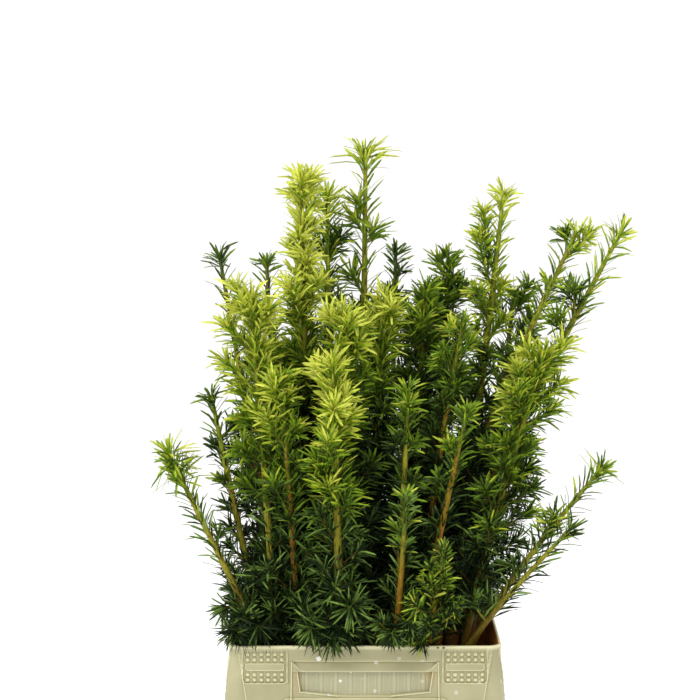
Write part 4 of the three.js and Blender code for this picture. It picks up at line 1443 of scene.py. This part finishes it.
def container_profile():
    """Half sizes, corner radius, height and whether the ring lies on the collar's marked face."""
    rows = []

    def ring(half, z, radius=CORNER_RADIUS, marked=False):
        rows.append((half, radius, z, marked))

    ring(body_half(0)[0] - 5, 0, CORNER_RADIUS - 4)
    ring(body_half(0)[0] - FOOT_ROUND, FOOT_ROUND)
    for z in BODY_RINGS_Z:
        ring(body_half(z)[0], z)
    ring(body_half(UNDER_COLLAR_Z)[0] + 0.5, UNDER_COLLAR_Z)
    ring(collar_half(UNDER_COLLAR_Z)[0] - WALL - 4, UNDER_COLLAR_Z)
    ring(collar_half(COLLAR_FOOT_Z)[0] - WALL - 2, COLLAR_FOOT_Z + 1)
    ring(collar_half(COLLAR_FOOT_Z)[0] - WALL, COLLAR_FOOT_Z)
    ring(collar_half(COLLAR_FOOT_Z)[0] - COLLAR_EDGE, COLLAR_FOOT_Z)
    collar_top = CONTAINER_HEIGHT - LIP_HEIGHT - COLLAR_EDGE
    for z in (COLLAR_FOOT_Z + 1, *COLLAR_RINGS_Z, *np.linspace(MARKED_FROM_Z, collar_top, MARKED_RINGS)):
        ring(collar_half(z)[0], z, marked=True)
    for angle in RIM_ANGLES:
        out = RIM_HALF - RIM_ROUND + RIM_ROUND * math.cos(angle)
        ring(out, CONTAINER_HEIGHT - RIM_ROUND + RIM_ROUND * math.sin(angle))
    for angle in INNER_ANGLES:
        out = body_half(CONTAINER_HEIGHT)[0] - WALL + INNER_ROUND - INNER_ROUND * math.cos(angle)
        z = CONTAINER_HEIGHT - INNER_ROUND + INNER_ROUND * math.sin(angle)
        ring(out, z, CORNER_RADIUS - RIM_WALL)
    for z in INNER_RINGS_Z:
        ring(body_half(z)[0] - WALL, z, CORNER_RADIUS - WALL)
    ring(body_half(FLOOR)[0] - WALL - 4, FLOOR, CORNER_RADIUS - WALL)
    return rows


def dress_container():
    rings = []
    for half, radius, z, marked in container_profile():
        flat, outs = ring_points(half, radius)
        if marked:
            on_long = np.abs(outs[:, 1]) >= math.sqrt(0.5)
            relief = np.where(on_long, face_relief(flat[:, 0], z), end_relief(flat[:, 1], z))
            flat = flat + outs * relief[:, None]
        rings.append(np.column_stack([flat, np.full(len(flat), z)]))
    faces = ring_faces(len(rings), len(rings[0]))
    piece = mesh_object("flower_container", np.concatenate(rings), faces, container_material(), smooth=True)
    piece.data.set_sharp_from_angle(angle=SHARP_ANGLE)
    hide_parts("container")


# Camera, floor and light. The lens is worked out from a focal length in the photo's pixels.
CAMERA_PLACE = (-0.021, -3.7305, 1.0426)
CAMERA_PITCH = math.radians(5.2)
SENSOR_WIDTH = 36
FOCAL_PIXELS = 2600
PHOTO_PIXELS = 700
CAMERA_LENS = SENSOR_WIDTH * FOCAL_PIXELS / PHOTO_PIXELS
CAMERA_FAR = 1000
GROUND_HALF = 250.0
GROUND_DROP = 0.0004
GROUND_COLOUR = (0.93, 0.93, 0.92, 1)
GROUND_ROUGHNESS = 0.8
WORLD_STRENGTH = 1.12
# Each light's place, what it points at, its size and its power
LIGHTS = {
    "key": ((-1.6, -2.4, 3.0), (0, 0, 0.6), 1.4, 45),
    "top": ((0.3, 0.4, 3.4), (0, 0, 0.5), 1.6, 30),
}


def add_camera():
    camera = new_object("camera", bpy.data.cameras.new("camera"))
    camera.location = CAMERA_PLACE
    camera.rotation_euler = (math.pi / 2 - CAMERA_PITCH, 0, 0)
    camera.data.lens = CAMERA_LENS
    camera.data.clip_end = CAMERA_FAR
    bpy.context.scene.camera = camera


def add_floor():
    corners = [(GROUND_HALF * x, GROUND_HALF * y, 0) for x, y in ((-1, -1), (1, -1), (1, 1), (-1, 1))]
    mesh = bpy.data.meshes.new("floor")
    mesh.from_pydata(corners, [], [(0, 1, 2, 3)])
    floor = new_object("floor", mesh)
    floor.location.z = -GROUND_DROP
    material, tree, shader = node_material("pale_floor")
    set_inputs(tree, shader, {"Base Color": GROUND_COLOUR, "Roughness": GROUND_ROUGHNESS})
    mesh.materials.append(material)


def add_area(name, place, target, size, energy):
    light = new_object(name, bpy.data.lights.new(name, "AREA"))
    light.data.shape = "SQUARE"
    light.data.size = size
    light.data.energy = energy
    light.location = place
    light.rotation_euler = (Vector(target) - Vector(place)).to_track_quat("-Z", "Y").to_euler()


def add_light():
    scene = bpy.context.scene
    scene.view_settings.view_transform = "Standard"
    scene.world = bpy.data.worlds.new("studio")
    scene.world.use_nodes = True
    tree = scene.world.node_tree
    set_inputs(tree, tree.nodes["Background"], {"Color": (1, 1, 1, 1), "Strength": WORLD_STRENGTH})
    for name, settings in LIGHTS.items():
        add_area(name, *settings)


def main():
    add_camera()
    add_floor()
    add_light()
    barks = {tone: bark_material(f"bark_{tone}", colours) for tone, colours in BARK_COLOURS.items()}
    foot_bark = bark_material("bark_foot", BARK_COLOURS["brown"], climbs=False)
    young_bark = bark_material("bark_young", YOUNG_TWIG_COLOURS, climbs=False)
    old_bark = bark_material("bark_old", OLD_TWIG_COLOURS, climbs=False)
    shoots = make_shoots()
    dress_stems(barks, foot_bark)
    dress_twigs(shoots, young_bark, old_bark)
    dress_needles(shoots)
    dress_container()


main()
